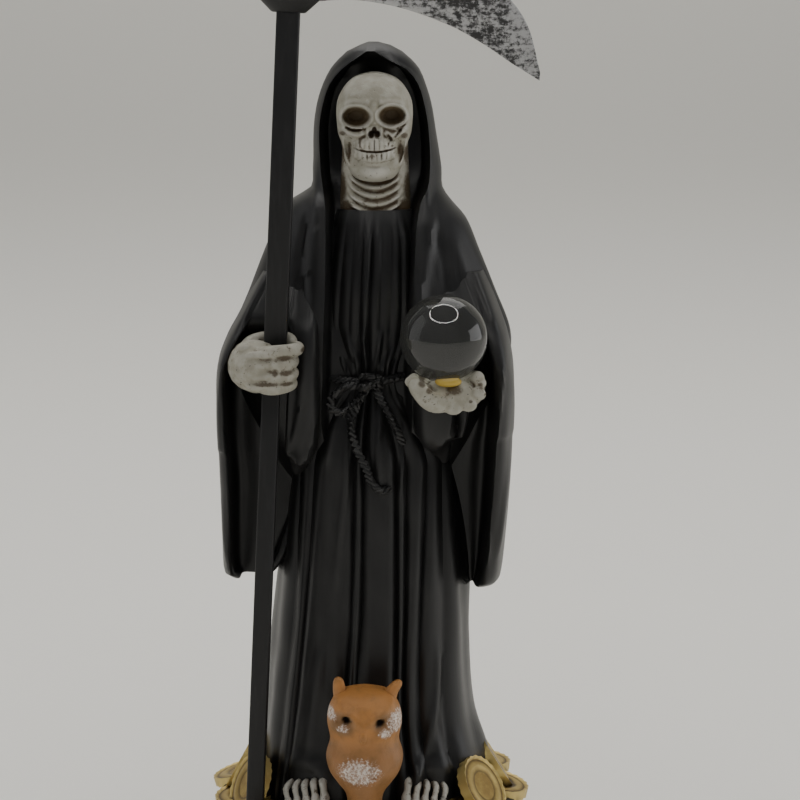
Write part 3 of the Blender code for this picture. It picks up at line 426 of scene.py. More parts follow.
# height, outer side, inner side, outer lip, inner lip, floor of the hollow, back, width of inner lip
LEFT_SLEEVE = [
    (77.2, -40.6, -28.0, -12.0, -9.0, -5.5, 9.0, 3.0),
    (79.2, -41.9, -26.0, -16.0, -10.5, -5.6, 12.0, 3.0),
    (85.0, -42.2, -22.6, -18.5, -11.0, -6.2, 13.8, 3.4),
    (104.0, -42.0, -17.0, -23.5, -10.0, -8.0, 15.5, 4.0),
    (112.3, -42.2, -16.0, -25.0, -21.0, -9.0, 15.5, 6.0),
    (113.2, -42.3, -15.0, -25.4, -25.0, -9.2, 15.5, 7.5),
    (118.0, -42.5, -13.2, -26.2, -27.0, -9.6, 15.5, 9.4),
    (128.0, -42.7, -12.2, -27.5, -28.0, -10.5, 15.0, 10.0),
    (140.0, -42.2, -12.0, -29.0, -28.5, -13.0, 14.0, 9.5),
    (148.0, -39.2, -12.0, -29.5, -28.0, -20.0, 13.0, 9.0),
    (153.0, -36.4, -12.2, -27.0, -26.5, -26.0, 12.0, 9.0),
    (166.0, -29.5, -13.5, -17.0, -17.0, -17.0, 9.0, 6.0),
]
RIGHT_SLEEVE = [
    (74.6, 37.4, 26.0, -12.0, -9.0, -5.5, 8.0, 3.0), (76.6, 38.4, 24.6, -16.0, -10.5, -6.0, 11.0, 3.0),
    (84.0, 39.4, 22.4, -18.0, -11.0, -6.6, 13.6, 3.4), (104.0, 40.9, 18.0, -23.5, -10.0, -8.0, 15.5, 4.0),
    (116.3, 41.2, 15.8, -26.0, -20.0, -9.3, 15.5, 8.0),
    (117.4, 41.3, 14.4, -26.4, -25.5, -9.5, 15.5, 10.0),
    (121.5, 41.5, 12.6, -27.2, -28.5, -10.2, 15.5, 14.0),
    (130.0, 41.7, 11.8, -28.5, -29.5, -11.0, 15.0, 16.4),
    (140.0, 41.2, 11.8, -29.0, -28.5, -14.0, 14.0, 15.0),
    (148.0, 39.6, 12.6, -28.0, -27.0, -22.0, 13.0, 12.0),
    (153.0, 38.0, 13.4, -25.5, -25.5, -25.0, 12.0, 9.0),
    (166.0, 33.0, 15.0, -16.0, -16.0, -16.0, 9.0, 6.0),
]
LEFT_WALL = 3.2
RIGHT_WALL = 5.2
SLEEVE_STROKES = [
    ([(-11.6, 150.0), (-12.4, 136.0), (-13.6, 125.6), (-16.0, 116.6), (-18.4, 113.6), (-22.0, 113.8)],
     1.3, 1.0),
    ([(-17.0, 146.0), (-17.6, 134.0), (-19.4, 124.0), (-21.4, 118.0)], 1.4, 0.7),
    ([(-38.6, 146.0), (-40.8, 130.0), (-41.0, 112.0), (-40.4, 92.0), (-39.6, 82.0)], 1.3, 0.7),
    ([(-36.6, 134.0), (-37.6, 118.0), (-37.4, 96.0), (-36.8, 84.0)], 1.2, 0.6),
    ([(-31.4, 126.0), (-30.4, 118.0), (-28.4, 110.0)], 1.0, 0.9),
    ([(37.6, 146.0), (36.4, 130.0), (34.8, 112.0), (34.0, 96.0), (33.8, 80.0)], 1.3, 1.2),
    ([(40.2, 140.0), (40.8, 122.0), (38.8, 100.0), (36.8, 84.0)], 1.3, 1.0),
    ([(33.8, 132.0), (33.2, 116.0), (32.0, 98.0), (31.8, 82.0)], 1.1, 0.8),
    ([(12.4, 134.0), (13.2, 122.5), (15.6, 118.9), (19.6, 118.7), (22.2, 121.2), (23.2, 130.0)], 1.1, 1.0),
    ([(17.0, 130.0), (17.4, 124.0), (17.6, 120.6)], 0.9, 0.7),
    ([(24.6, 133.0), (24.8, 125.0), (24.6, 119.0)], 1.2, -1.8),
    ([(27.4, 131.4), (27.2, 124.6), (26.4, 119.6)], 1.1, 1.0),
]


def sleeve(name, table, wall):
    """A hanging bell sleeve, open below, with a hollow inside its lip."""
    way = 1 if table[0][2] > table[0][1] else -1

    def place(u, z):
        outer, inner, lip_out, lip_in, floor, back, flap = curve(table, z)
        flank = (floor + back) / 2
        points = [
            ((outer + inner) / 2, back),
            (outer + way * 3.2, back - 3.5),
            (outer, flank),
            (outer + way * 0.3, (lip_out + flank) / 2),
            (outer + way * 0.45 * wall, np.minimum(lip_out + 1.6, floor - 0.4)),
            (outer + way * 1.15 * wall, lip_out),
            (outer + way * 1.35 * wall, floor),
            ((outer + way * 1.2 * wall + inner - way * flap) / 2, floor + 0.5),
            (inner - way * (flap + 0.6), floor),
            (inner - way * flap, np.minimum(lip_in + 1.6, floor - 0.3)),
            (inner - way * 0.8 * flap, lip_in),
            (inner - way * 0.2 * flap, lip_in + 0.4),
            (inner, (lip_in + flank) / 2),
            (inner, flank),
        ]
        x, y = ring(points, u)
        front = ramp(y, floor - 1, floor - 4)
        carved = strokes(x, z, SLEEVE_STROKES) * front
        cuff, hem = (-17.5, 113.0) if way > 0 else (18.0, 117.0)
        lift = 3.0 * ramp(np.abs(x - cuff), 1.0, 6.0) * bump(z - hem, 5.0) * front
        return x - way * 0.35 * carved * (np.abs(x - outer) < 8), y - carved, z + lift

    return form(name, np.linspace(0, 1, 85)[:-1], levels(table, 1.7), place, CLOTH)


# Neck and skull

NECK_RINGS = (182.6, 184.9, 187.3, 189.7)


def neck():
    """The neck with its rings, up into the skull."""
    def place(u, z):
        turn = 2 * np.pi * u
        across = 1.3 * np.sin(turn)
        front = np.maximum(1 - across ** 2, 0.0) * (np.cos(turn) < 0)
        nearest = np.min([np.abs(z - height) for height in NECK_RINGS], axis=0)
        swell = (0.62 * np.cos(np.pi * np.minimum(nearest / 1.2, 1)) - 0.1) * ramp(front, 0.0, 0.4)
        radius = 9.9 - 0.05 * (z - 183.0) + swell
        sag = 3.0 * front
        return 2.3 + radius * np.sin(turn), -7.0 + 0.92 * radius * np.cos(turn), z + 2.6 - sag

    heights = np.concatenate((np.linspace(176.0, 191.0, 54), [197.0, 203.0]))
    return form("neck", np.linspace(0, 1, 81)[:-1], heights, place, BONE)


SKULL_MIDDLE = 2.2
# height, half width, front, back
SKULL = [
    (190.9, 2.6, -16.6, -10.0), (191.7, 5.0, -18.6, -8.0), (193.8, 6.9, -19.6, -6.0),
    (197.5, 8.5, -19.4, -4.0), (201.5, 9.2, -19.2, -3.0), (204.0, 10.1, -19.6, -2.0),
    (206.5, 10.4, -19.6, -1.5), (210.0, 10.6, -20.4, -1.0), (213.2, 10.2, -21.4, 0.0),
    (216.5, 8.6, -19.6, -2.0), (219.0, 6.3, -16.8, -4.0), (220.3, 3.6, -13.6, -6.0),
    (220.9, 1.0, -11.0, -8.0),
]
# x, height, half width, half height, both from the middle of the face
SOCKETS = ((-5.0, 208.8, 4.0, 2.9), (4.8, 209.1, 3.9, 2.8))
TOOTH_WIDTH = 1.3
MOUTH_HEIGHT = 199.3
FACE_STROKES = [
    ([(-9.6, 206.4), (-7.4, 204.4), (-4.4, 203.8), (-2.4, 204.8)], 1.2, 1.7),
    ([(9.6, 206.4), (7.4, 204.4), (4.6, 203.8), (2.6, 204.8)], 1.2, 1.7),
    ([(-9.8, 209.0), (-8.6, 206.2), (-5.4, 205.2), (-2.0, 206.2)], 0.7, 0.5),
    ([(9.8, 209.0), (8.6, 206.2), (5.4, 205.4), (2.0, 206.4)], 0.7, 0.5),
    ([(-1.0, 213.0), (-3.0, 212.6), (-6.0, 212.8), (-9.2, 211.4)], 1.3, 0.6),
    ([(1.0, 213.0), (3.0, 212.6), (6.0, 212.8), (9.2, 211.4)], 1.3, 0.6),
    ([(0.0, 213.0), (0.0, 209.0), (0.0, 206.4)], 1.5, 0.9),
    ([(-1.7, 206.2), (-2.2, 203.6), (-3.2, 202.4)], 0.8, 0.5),
    ([(1.7, 206.2), (2.2, 203.6), (3.2, 202.4)], 0.8, 0.5),
    ([(-8.9, 203.0), (-8.4, 199.0), (-6.9, 194.8)], 0.8, 1.1),
    ([(8.9, 203.0), (8.4, 199.0), (6.9, 194.8)], 0.8, 1.1),
    ([(-8.0, 206.0), (-5.8, 205.1), (-3.4, 205.4)], 0.5, -1.2),
    ([(7.4, 205.6), (6.6, 204.4), (5.2, 203.0)], 0.5, -1.3),
    ([(3.4, 204.4), (4.4, 203.0), (4.6, 202.0)], 0.5, -1.3),
]


def face_depth(x, z):
    """How far the face is cut in at a point of its front view, from its middle line."""
    cut = -strokes(x, z, FACE_STROKES)
    for middle, height, wide, high in SOCKETS:
        r = oval(x, z, (middle, height), (wide, high))
        cut += 4.4 * ramp(r, 1.0, 0.74) + 2.2 * ramp(r, 0.66, 0.5) - 0.6 * bump(r - 1.12, 0.18)
    for side in (-1, 1):
        cut += 2.4 * ramp(oval(x, z, (side * 0.8, 204.0), (0.85, 1.15)), 1.0, 0.6)
        cut += 1.9 * ramp(oval(x, z, (side * 6.9, 199.8), (1.5, 4.4)), 1.0, 0.0)
        cut += 2.2 * ramp(oval(x, z, (side * 9.8, 213.6), (2.4, 4.6)), 1.0, 0.1)
    cut += 1.8 * ramp(oval(x, z, (0, 205.2), (0.75, 1.1)), 1.0, 0.6)
    cut -= 1.7 * ramp(oval(x, z, (0, 199.6), (6.0, 4.8)), 1.0, 0.6)
    cut -= 0.9 * ramp(oval(x, z, (0, 193.0), (5.4, 2.6)), 1.0, 0.2)
    mouth = MOUTH_HEIGHT + 0.03 * x ** 2
    above = z - mouth
    width = np.abs(x) < 5.5
    phase = x / TOOTH_WIDTH + 0.5 * (above < 0)
    tooth = np.abs(np.sin(np.pi * phase)) ** 0.3
    row = np.where(above > 0, bump(above - 1.8, 2.0), bump(above + 1.5, 1.7)) ** 0.5
    cut -= 1.0 * tooth * row * width - 0.3 * width * row
    cut += 0.9 * bump(above, 0.36) * (np.abs(x) < 5.9) + 0.4 * bump(above + 3.3 - 0.5 * tooth, 0.4) * width
    return cut


def skull():
    """The skull, its face carved by depth and strokes."""
    def place(u, z):
        turn = np.pi * power(2 * u - 1, 1.35)
        half, front, back = curve(SKULL, z)
        deep = np.cos(turn)
        x = half * np.sin(turn)
        y = (front + back) / 2 - (back - front) / 2 * power(deep, 0.8)
        return SKULL_MIDDLE + x, y + face_depth(x, z) * ramp(deep, 0.0, 0.35), z

    heights = levels(SKULL, 0.28)
    return form("skull", np.linspace(0, 1, 113)[:-1], heights, place, BONE)


# Hands

def fist():
    """The hand round the shaft, its back to the front and its fingers stacked."""
    made = [limb("back_of_hand", [(-31.4, -8.0, 140.7, 4.6), (-32.2, -24.0, 141.5, 6.0),
                                  (-30.8, -32.0, 142.1, 6.5), (-27.8, -34.4, 141.9, 6.5),
                                  (-24.8, -34.6, 141.3, 5.6)], BONE, flat=1.1)]
    for height, reach in ((146.9, 0.9), (143.4, -0.5), (140.1, -0.6), (137.2, -1.0)):
        made.append(limb("finger", [(-29.7, -36.4, height - 0.5, 1.8), (-25.1, -38.8, height - 0.2, 2.0),
                                    (-20.6 + reach, -37.4, height + 0.2, 1.9),
                                    (-19.4 + reach, -33.2, height + 0.3, 1.8),
                                    (-21.5 + reach, -30.6, height + 0.2, 1.7)], BONE))
        made.append(egg("knuckle", BONE, (-24.4 + 0.4 * reach, -39.6, height), (1.5, 1.4, 1.5), 14, 10))
    for height, reach in ((146.2, -28.4), (143.3, -28.0), (140.5, -28.2), (137.8, -28.8)):
        made.append(limb("tendon", [(-34.6, -33.6, 142.1 + 0.35 * (height - 142.1), 1.1),
                                    (-30.6, -38.8, height - 0.3, 1.1),
                                    (reach + 3.0, -40.2, height, 1.1)], BONE))
    made.append(limb("thumb", [(-33.6, -30.6, 146.6, 2.4), (-30.4, -28.4, 148.6, 1.9),
                               (-25.8, -27.0, 149.5, 1.6), (-21.4, -28.8, 149.2, 1.7),
                               (-19.6, -32.2, 148.0, 1.9)], BONE))
    made.append(egg("thumb_joint", BONE, (-32.4, -35.4, 147.4), (2.4, 2.0, 1.4), 14, 10))
    return cast("fist", made, BONE, HAND_GRAIN, 2)


def cupped_hand():
    """The open hand under the ball: a shallow bowl of palm and fingers."""
    made = [limb("palm", [(30.0, -8.0, 136.0, 4.2), (28.2, -26.0, 134.8, 4.6), (26.4, -34.0, 134.9, 5.0),
                          (22.0, -37.0, 134.6, 5.2), (16.0, -37.0, 136.6, 4.0)], BONE, flat=0.9)]
    for step in range(4):
        lean = step - 1.5
        made.append(limb("cup_finger", [
            (26.8 - 0.8 * lean, -34.0 - 2.4 * lean, 134.0, 2.9),
            (20.8 - 1.5 * lean, -37.5 - 3.2 * lean, 133.2 + 0.3 * abs(lean), 2.8),
            (14.6, -37.2 - 3.6 * lean, 136.4 + 0.2 * abs(lean), 2.4),
            (11.9 + 0.3 * abs(lean), -36.8 - 3.2 * lean, 140.4 - 0.4 * abs(lean), 1.8)], BONE))
    made.append(limb("cup_thumb", [(28.8, -28.0, 135.2, 2.9), (29.8, -35.0, 137.2, 2.5),
                                   (30.4, -40.0, 141.2, 1.7)], BONE))
    made.append(egg("heel", BONE, (24.6, -38.0, 134.8), (6.0, 4.8, 4.2)))
    for x, y, z, size in ((12.6, -40.8, 139.0, 1.9), (15.6, -42.0, 136.0, 2.1), (19.4, -42.6, 133.6, 2.2),
                          (23.6, -42.6, 132.2, 2.2), (27.6, -42.0, 132.9, 2.1), (30.2, -40.8, 135.6, 2.0),
                          (30.9, -39.6, 138.4, 1.5)):
        made.append(egg("knuckle", BONE, (x, y + 0.5, z), (1.15 * size, 1.5, 0.9 * size), 14, 10))
    return cast("cupped_hand", made, BONE, HAND_GRAIN, 2)


# Rope belt, bow and tails: twisted strands

ROPE = 1.4
STRANDS = 3
TWIST = 5.2
ROPE_ROUTES = [
    [(-12.0, -17.5, 136.6), (-7.0, -21.0, 136.2), (-1.0, -23.4, 136.0)],
    [(3.0, -23.4, 136.2), (8.0, -21.4, 136.8), (12.5, -17.5, 137.0)],
    [(0.6, -24.2, 135.8), (-5.4, -25.4, 135.2), (-9.4, -25.0, 132.4), (-9.6, -25.0, 129.0),
     (-6.0, -25.6, 128.0), (-2.6, -25.8, 131.4), (0.6, -25.0, 135.0)],
    [(-0.4, -24.6, 134.2), (-3.2, -25.8, 129.0), (-4.5, -26.0, 123.6), (-3.0, -25.8, 117.6),
     (-0.4, -25.6, 112.6), (1.6, -25.6, 107.8), (4.0, -25.6, 105.8), (7.0, -25.4, 106.6)],
    [(1.8, -24.6, 135.2), (5.0, -25.8, 130.2), (7.4, -26.0, 125.2), (9.4, -25.8, 120.6),
     (10.4, -25.4, 118.8)],
    [(-1.8, -25.0, 137.6), (0.6, -27.0, 138.4), (3.0, -26.2, 137.0), (3.6, -25.0, 134.6)],
    [(-2.4, -25.2, 135.0), (-0.2, -27.4, 135.4), (2.0, -27.4, 136.4), (3.6, -25.4, 138.2)],
]


def rope():
    """Each length of rope as strands that twist round each other, with the knot."""
    made = [egg("knot", CLOTH, (0.9, -23.8, 136.2), (2.6, 2.8, 2.4))]
    for route in ROPE_ROUTES:
        table = [(i,) + point for i, point in enumerate(route)]
        keys = np.linspace(0, len(route) - 1, 60)
        spots = curve(table, keys).T
        length = np.concatenate(([0], np.cumsum(np.linalg.norm(np.diff(spots, axis=0), axis=1))))
        count = max(4, round(length[-1] / 1.15))
        for strand in range(STRANDS):
            path = []
            for step in range(count + 1):
                here = length[-1] * step / count
                key = np.interp(here, length, keys)
                spot = curve(table, key)
                behind, ahead = curve(table, max(key - 0.05, 0)), curve(table, min(key + 0.05, keys[-1]))
                axis = Vector(ahead - behind).normalized()
                side = axis.cross(Vector((0.1, 1.0, 0.2))).normalized()
                turn = 2 * math.pi * (here / TWIST + strand / STRANDS)
                off = (side * math.cos(turn) + side.cross(axis) * math.sin(turn)) * ROPE * 0.5
                path.append((*(Vector(spot) + off), ROPE * 0.56))
            made.append(limb("strand", path, CLOTH, around=7, along=count))
    return made


# Owl

OWL_MIDDLE = (-0.6, -39.5)
# height, half width, front, back
OWL = [
    (9.0, 4.0, -4.0, 6.0), (14.0, 4.4, -5.6, 8.0), (20.0, 4.8, -6.8, 10.0), (23.5, 5.6, -7.8, 11.0),
    (27.0, 7.9, -9.2, 12.0), (30.0, 9.9, -10.2, 12.0), (34.0, 10.7, -10.4, 12.0), (38.7, 9.6, -9.2, 11.0),
    (43.5, 10.3, -9.6, 10.0), (47.0, 10.1, -9.6, 9.0), (50.0, 9.0, -8.6, 8.0), (52.7, 6.8, -6.0, 5.0),
    (54.0, 2.2, -2.0, 1.0),
]
OWL_STROKES = [
    ([(-8.0, 52.0), (-5.6, 49.2), (-2.8, 47.2), (-0.8, 45.0)], 2.2, 1.1),
    ([(9.0, 51.6), (6.2, 49.0), (3.2, 47.0), (0.8, 45.0)], 2.2, 1.1),
    ([(-0.2, 46.0), (-0.2, 42.6), (-0.2, 40.0)], 1.9, 0.9),
    ([(-8.4, 47.4), (-8.4, 44.6), (-6.0, 43.0), (-2.8, 42.6)], 1.6, 0.7),
    ([(8.4, 47.0), (8.2, 44.0), (6.0, 42.2), (2.6, 42.0)], 1.6, 0.7),
    ([(-8.2, 37.0), (-9.2, 31.0), (-6.0, 25.0)], 2.0, 0.7),
    ([(8.2, 37.0), (9.2, 31.0), (6.0, 25.0)], 2.0, 0.7),
]
OWL_EYES = ((-4.8, 46.3), (4.2, 45.7))


def owl():
    """The owl between the feet, with carved eyes, belly feathers, beak and ears."""
    def place(u, z):
        half, front, back = curve(OWL, z)
        turn = 2 * np.pi * (u - 0.5)
        deep = np.cos(turn)
        x = half * np.sin(turn)
        cut = -strokes(x, z, OWL_STROKES)
        for middle in OWL_EYES:
            r = oval(x, z, middle, (3.0, 2.6))
            cut += 1.3 * ramp(r, 1.0, 0.2) + 1.5 * ramp(oval(x, z, middle, (1.2, 1.3)), 1.0, 0.55)
        fluff = np.sin(3.1 * z + 1.6 * np.sin(2.3 * x)) * np.sin(3.3 * x + 0.8 * np.sin(1.7 * z))
        belly = ramp(oval(x, z, (-1.7, 32.0), (7.4, 5.0)), 1.0, 0.7)
        cheek = ramp(oval(np.abs(x), z, (8.4, 45.2), (3.0, 3.6)), 1.0, 0.5)
        cut -= 0.5 * fluff * np.maximum(belly, cheek)
        y = OWL_MIDDLE[1] + (front + back) / 2 - (back - front) / 2 * deep + cut * ramp(deep, 0.0, 0.4)
        return OWL_MIDDLE[0] + x, y, z

    body = form("owl", np.linspace(0, 1, 85)[:-1], levels(OWL, 0.7), place, OWL_PAINT)
    x, y = OWL_MIDDLE
    made = [body, egg("beak", OWL_PAINT, (x - 0.2, y - 9.3, 42.4), (1.1, 1.5, 2.2), 14, 10)]
    for way in (-1, 1):
        made.append(limb("owl_ear", [(x + way * 5.6, y, 48.6, 3.1), (x + way * 7.2 + 0.4, y - 0.6, 52.6, 2.1),
                                     (x + way * 8.6 + 1.4, y - 1.0, 56.2 - way * 0.5, 1.4)],
                         OWL_PAINT, flat=0.8))
    return made


# Feet, base and coins

FEET = ((-17.4, 1), (16.4, -1))
TOES = 5


def feet():
    """Five bony toes a side, from under the hem to the base."""
    made = []
    for middle, inward in FEET:
        for toe in range(TOES):
            x = middle + inward * (5.4 - 2.6 * toe)
            size = 1.7 - 0.13 * toe
            front = 0.5 * toe
            lean = 0.6 * inward
            made.append(limb("toe", [(x * 0.93, -24.0, 21.5, size * 0.9),
                                     (x - lean, -29.4, 22.4 - 0.5 * toe, size * 0.82),
                                     (x - 0.5 * lean, -31.6, 20.4 - 0.4 * toe, size * 0.6),
                                     (x, -33.0 + 0.5 * front, 18.4 - 0.2 * toe, size * 0.9),
                                     (x + 0.1, -35.0 + front, 15.0, size * 0.6),
                                     (x + 0.1, -36.2 + front, 12.4, size * 0.8)], BONE, around=10, along=20))
    return made


def base():
    """The low oval base, flat below and round above its rim."""
    bm = bmesh.new()
    bmesh.ops.create_cone(bm, cap_ends=True, segments=96, radius1=1.0, radius2=1.0, depth=1.0)
    for vert in bm.verts:
        vert.co = Vector((vert.co.x * BASE_SIZE[0] / 2, vert.co.y * BASE_SIZE[1] / 2 - BASE_FORWARD,
                          BASE_SIZE[2] * (vert.co.z + 0.5))) * UNIT
    top = [edge for edge in bm.edges if all(v.co.z > 0.9 * BASE_SIZE[2] * UNIT for v in edge.verts)]
    bmesh.ops.bevel(bm, geom=top, offset=3.0 * UNIT, segments=6, profile=0.5, affect="EDGES", material=-1)
    for face in bm.faces:
        face.material_index = BASE_PAINT
    return mesh_object(bm, "base")


COIN_RADIUS = 9.25
COIN_THICKNESS = 3.0
COIN_TEETH = 22
LOWER_COINS = 11
UPPER_COIN_TURNS = (6, 50, 130, 174, 204, 332)
COIN_RINGS = ((0.9, -0.5), (0.4, 0.0), (1.5, 0.3), (0.4, 0.0), (1.6, -0.35), (0.5, 0.0))


def coin(place):
    """A coin with a milled edge, a raised rim and rings."""
    bm = bmesh.new()
    bmesh.ops.create_cone(bm, cap_ends=True, segments=2 * COIN_TEETH, radius1=COIN_RADIUS,
                          radius2=COIN_RADIUS, depth=COIN_THICKNESS)
    for face in [f for f in bm.faces if abs(f.normal.z) > 0.9]:
        up = math.copysign(1, face.normal.z)
        for inset, rise in COIN_RINGS:
            bmesh.ops.inset_region(bm, faces=[face], thickness=inset, depth=0.0)
            for vert in face.verts:
                vert.co.z += up * rise
    for vert in bm.verts:
        if math.hypot(vert.co.x, vert.co.y) > COIN_RADIUS - 0.05:
            turn = math.atan2(vert.co.y, vert.co.x)
            vert.co *= 0.98 + 0.02 * math.cos(COIN_TEETH * turn)
    bmesh.ops.transform(bm, matrix=Matrix.Scale(UNIT, 4) @ place, verts=bm.verts)
    for face in bm.faces:
        face.material_index = GOLD
    return mesh_object(bm, "coin")


def coin_place(degrees, out, height, tilt):
    """A spot on the base by its angle (270 is to the front), with the coin tilted outwards."""
    around = math.radians(degrees)
    spot = Vector((BASE_SIZE[0] / 2 * out * math.cos(around),
                   BASE_SIZE[1] / 2 * out * math.sin(around) - BASE_FORWARD, BASE_SIZE[2] + height))
    return (Matrix.Translation(spot) @ Matrix.Rotation(around, 4, "Z")
            @ Matrix.Rotation(math.radians(tilt), 4, "Y") @ Matrix.Rotation(around * 3, 4, "Z"))


def coins():
    """A ring of coins lying round the base, and a few that lean on the hem."""
    made = []
    for step in range(LOWER_COINS):
        turn = 360 * step / LOWER_COINS + 4 * math.sin(5 * step)
        height = COIN_THICKNESS * (0.35 + 0.25 * math.sin(7 * step))
        out = 0.86 + 0.05 * math.sin(3 * step)
        made.append(coin(coin_place(turn, out, height, 12 + 6 * math.sin(4 * step))))
    for step, turn in enumerate(UPPER_COIN_TURNS):
        made.append(coin(coin_place(turn, 0.84, 2 * COIN_RADIUS * 0.36, 58 + 6 * math.sin(5 * step))))
    return made


# Scythe

SHAFT_UPPER = 6.2
SHAFT_LOWER = 4.9
SHAFT_DEPTH = 5.2
SHAFT_EDGE = 0.6
SHAFT_LENGTH = 228.0
SHAFT_STEP = 4.5
SHAFT_LEAN = math.radians(2.8)
SHAFT_FOOT = ((BASE_SIZE[2] + CLEARANCE + SHAFT_LOWER * math.sin(SHAFT_LEAN) - GRIP[2])
              / math.cos(SHAFT_LEAN))
COLLAR_WIDTH = 16.5
COLLAR_HEIGHT = 3.6
BLADE_LENGTH = 67.5
BLADE_WIDTH = 18.5
BLADE_THICKNESS = 3.6
SCYTHE_PLACE = Matrix.Scale(UNIT, 4) @ Matrix.Translation(GRIP) @ Matrix.Rotation(SHAFT_LEAN, 4, "Y")

# along the blade as a share of its length, lower and upper edge as shares of its width
BLADE = [
    (-0.23, 0.34, 0.44), (-0.19, 0.12, 0.68), (-0.10, -0.02, 0.88), (0.06, -0.03, 0.98), (0.25, 0.03, 1.00),
    (0.44, -0.05, 0.92), (0.64, -0.27, 0.68), (0.78, -0.52, 0.38), (0.88, -0.74, 0.10), (0.95, -0.88, -0.28),
    (1.00, -0.98, -0.86),
]


def scythe():
    """Shaft of two widths, flared collar and crescent blade with a hammered face."""
    shift = (SHAFT_UPPER - SHAFT_LOWER) / 2
    parts = []
    for low, high, width, middle in ((SHAFT_FOOT, SHAFT_STEP + SHAFT_EDGE, SHAFT_LOWER, -shift),
                                     (SHAFT_STEP, SHAFT_FOOT + SHAFT_LENGTH, SHAFT_UPPER, 0.0)):
        bm = bmesh.new()
        bmesh.ops.create_cube(bm, size=1.0)
        for vert in bm.verts:
            vert.co = Vector((middle + vert.co.x * width, vert.co.y * SHAFT_DEPTH,
                              low + (vert.co.z + 0.5) * (high - low)))
        bmesh.ops.bevel(bm, geom=bm.edges[:], offset=SHAFT_EDGE, segments=3, profile=0.5, affect="EDGES",
                        material=-1)
        bmesh.ops.transform(bm, matrix=SCYTHE_PLACE, verts=bm.verts)
        parts.append(mesh_object(bm, "shaft"))

    top = SHAFT_FOOT + SHAFT_LENGTH
    bm = bmesh.new()
    bmesh.ops.create_cone(bm, cap_ends=True, segments=48, radius1=SHAFT_UPPER * 0.72,
                          radius2=COLLAR_WIDTH / 2, depth=COLLAR_HEIGHT)
    for vert in bm.verts:
        vert.co = Vector((vert.co.x, vert.co.y * 0.62, top + vert.co.z - COLLAR_HEIGHT / 2))
    rims = [edge for edge in bm.edges if abs(edge.verts[0].co.z - edge.verts[1].co.z) < 0.1]
    bmesh.ops.bevel(bm, geom=rims, offset=0.5, segments=3, profile=0.5, affect="EDGES", material=-1)
    bmesh.ops.transform(bm, matrix=SCYTHE_PLACE, verts=bm.verts)
    parts.append(mesh_object(bm, "collar"))

    def place(u, share):
        low, high = curve(BLADE, share) * BLADE_WIDTH
        turn = 2 * np.pi * u
        across = 0.5 - 0.5 * np.cos(turn)
        thick = BLADE_THICKNESS / 2 * power(np.sin(turn), 0.7) * (0.4 + 0.6 * across)
        thick *= 0.25 + 0.75 * ramp(share, 1.0, 0.6)
        hammered = 0.05 * np.sin(55 * share + 9 * across) * np.sin(31 * share)
        thick *= 1 - 0.22 * bump(across - 0.2, 0.2) + hammered
        spots = np.array((share * BLADE_LENGTH, thick, top + low + (high - low) * across, np.ones_like(u)))
        return (np.array(SCYTHE_PLACE) @ spots)[:3] / UNIT

    parts.append(form("blade", np.linspace(0, 1, 57)[:-1], np.linspace(-0.23, 1.0, 120), place, 1))
    made = joined("scythe_fine", parts)
    return made


# Ball and the glue bead below it

def ball():
    """The clear ball, standing over the palm."""
    bm = bmesh.new()
    bmesh.ops.create_uvsphere(bm, u_segments=96, v_segments=64, radius=BALL_RADIUS * UNIT)
    bmesh.ops.translate(bm, vec=(Vector(PALM_SEAT) + Vector((0, 0, BALL_RADIUS))) * UNIT, verts=bm.verts)
    return mesh_object(bm, "clear_ball")


def glue_bead():
    """The bead of glue between ball and palm."""
    x, y, z = PALM_SEAT
    return egg("glue_bead", 0, (x + 1.2, y - 4.6, z + 0.7), (3.6, 2.4, 1.5), 32, 20)


# Materials

class Wire:
    """A node's output, whose arithmetic adds Math nodes."""

    def __init__(self, paint, socket):
        self.paint, self.socket = paint, socket

    def math(self, operation, first, second):
        return self.paint.node("ShaderNodeMath", {"operation": operation}, {0: first, 1: second})

    def __add__(self, other):
        return self.math("ADD", self, other)

    def __sub__(self, other):
        return self.math("SUBTRACT", self, other)

    def __rsub__(self, other):
        return self.math("SUBTRACT", other, self)

    def __mul__(self, other):
        return self.math("MULTIPLY", self, other)

    def __truediv__(self, other):
        return self.math("DIVIDE", self, other)

    __radd__, __rmul__ = __add__, __mul__

    def between(self, low, high):
        """0 at low, 1 at high, held outside."""
        return self.paint.node("ShaderNodeMapRange", {"interpolation_type": "SMOOTHSTEP"},
                               {0: self, 1: low, 2: high, 3: 0.0, 4: 1.0})


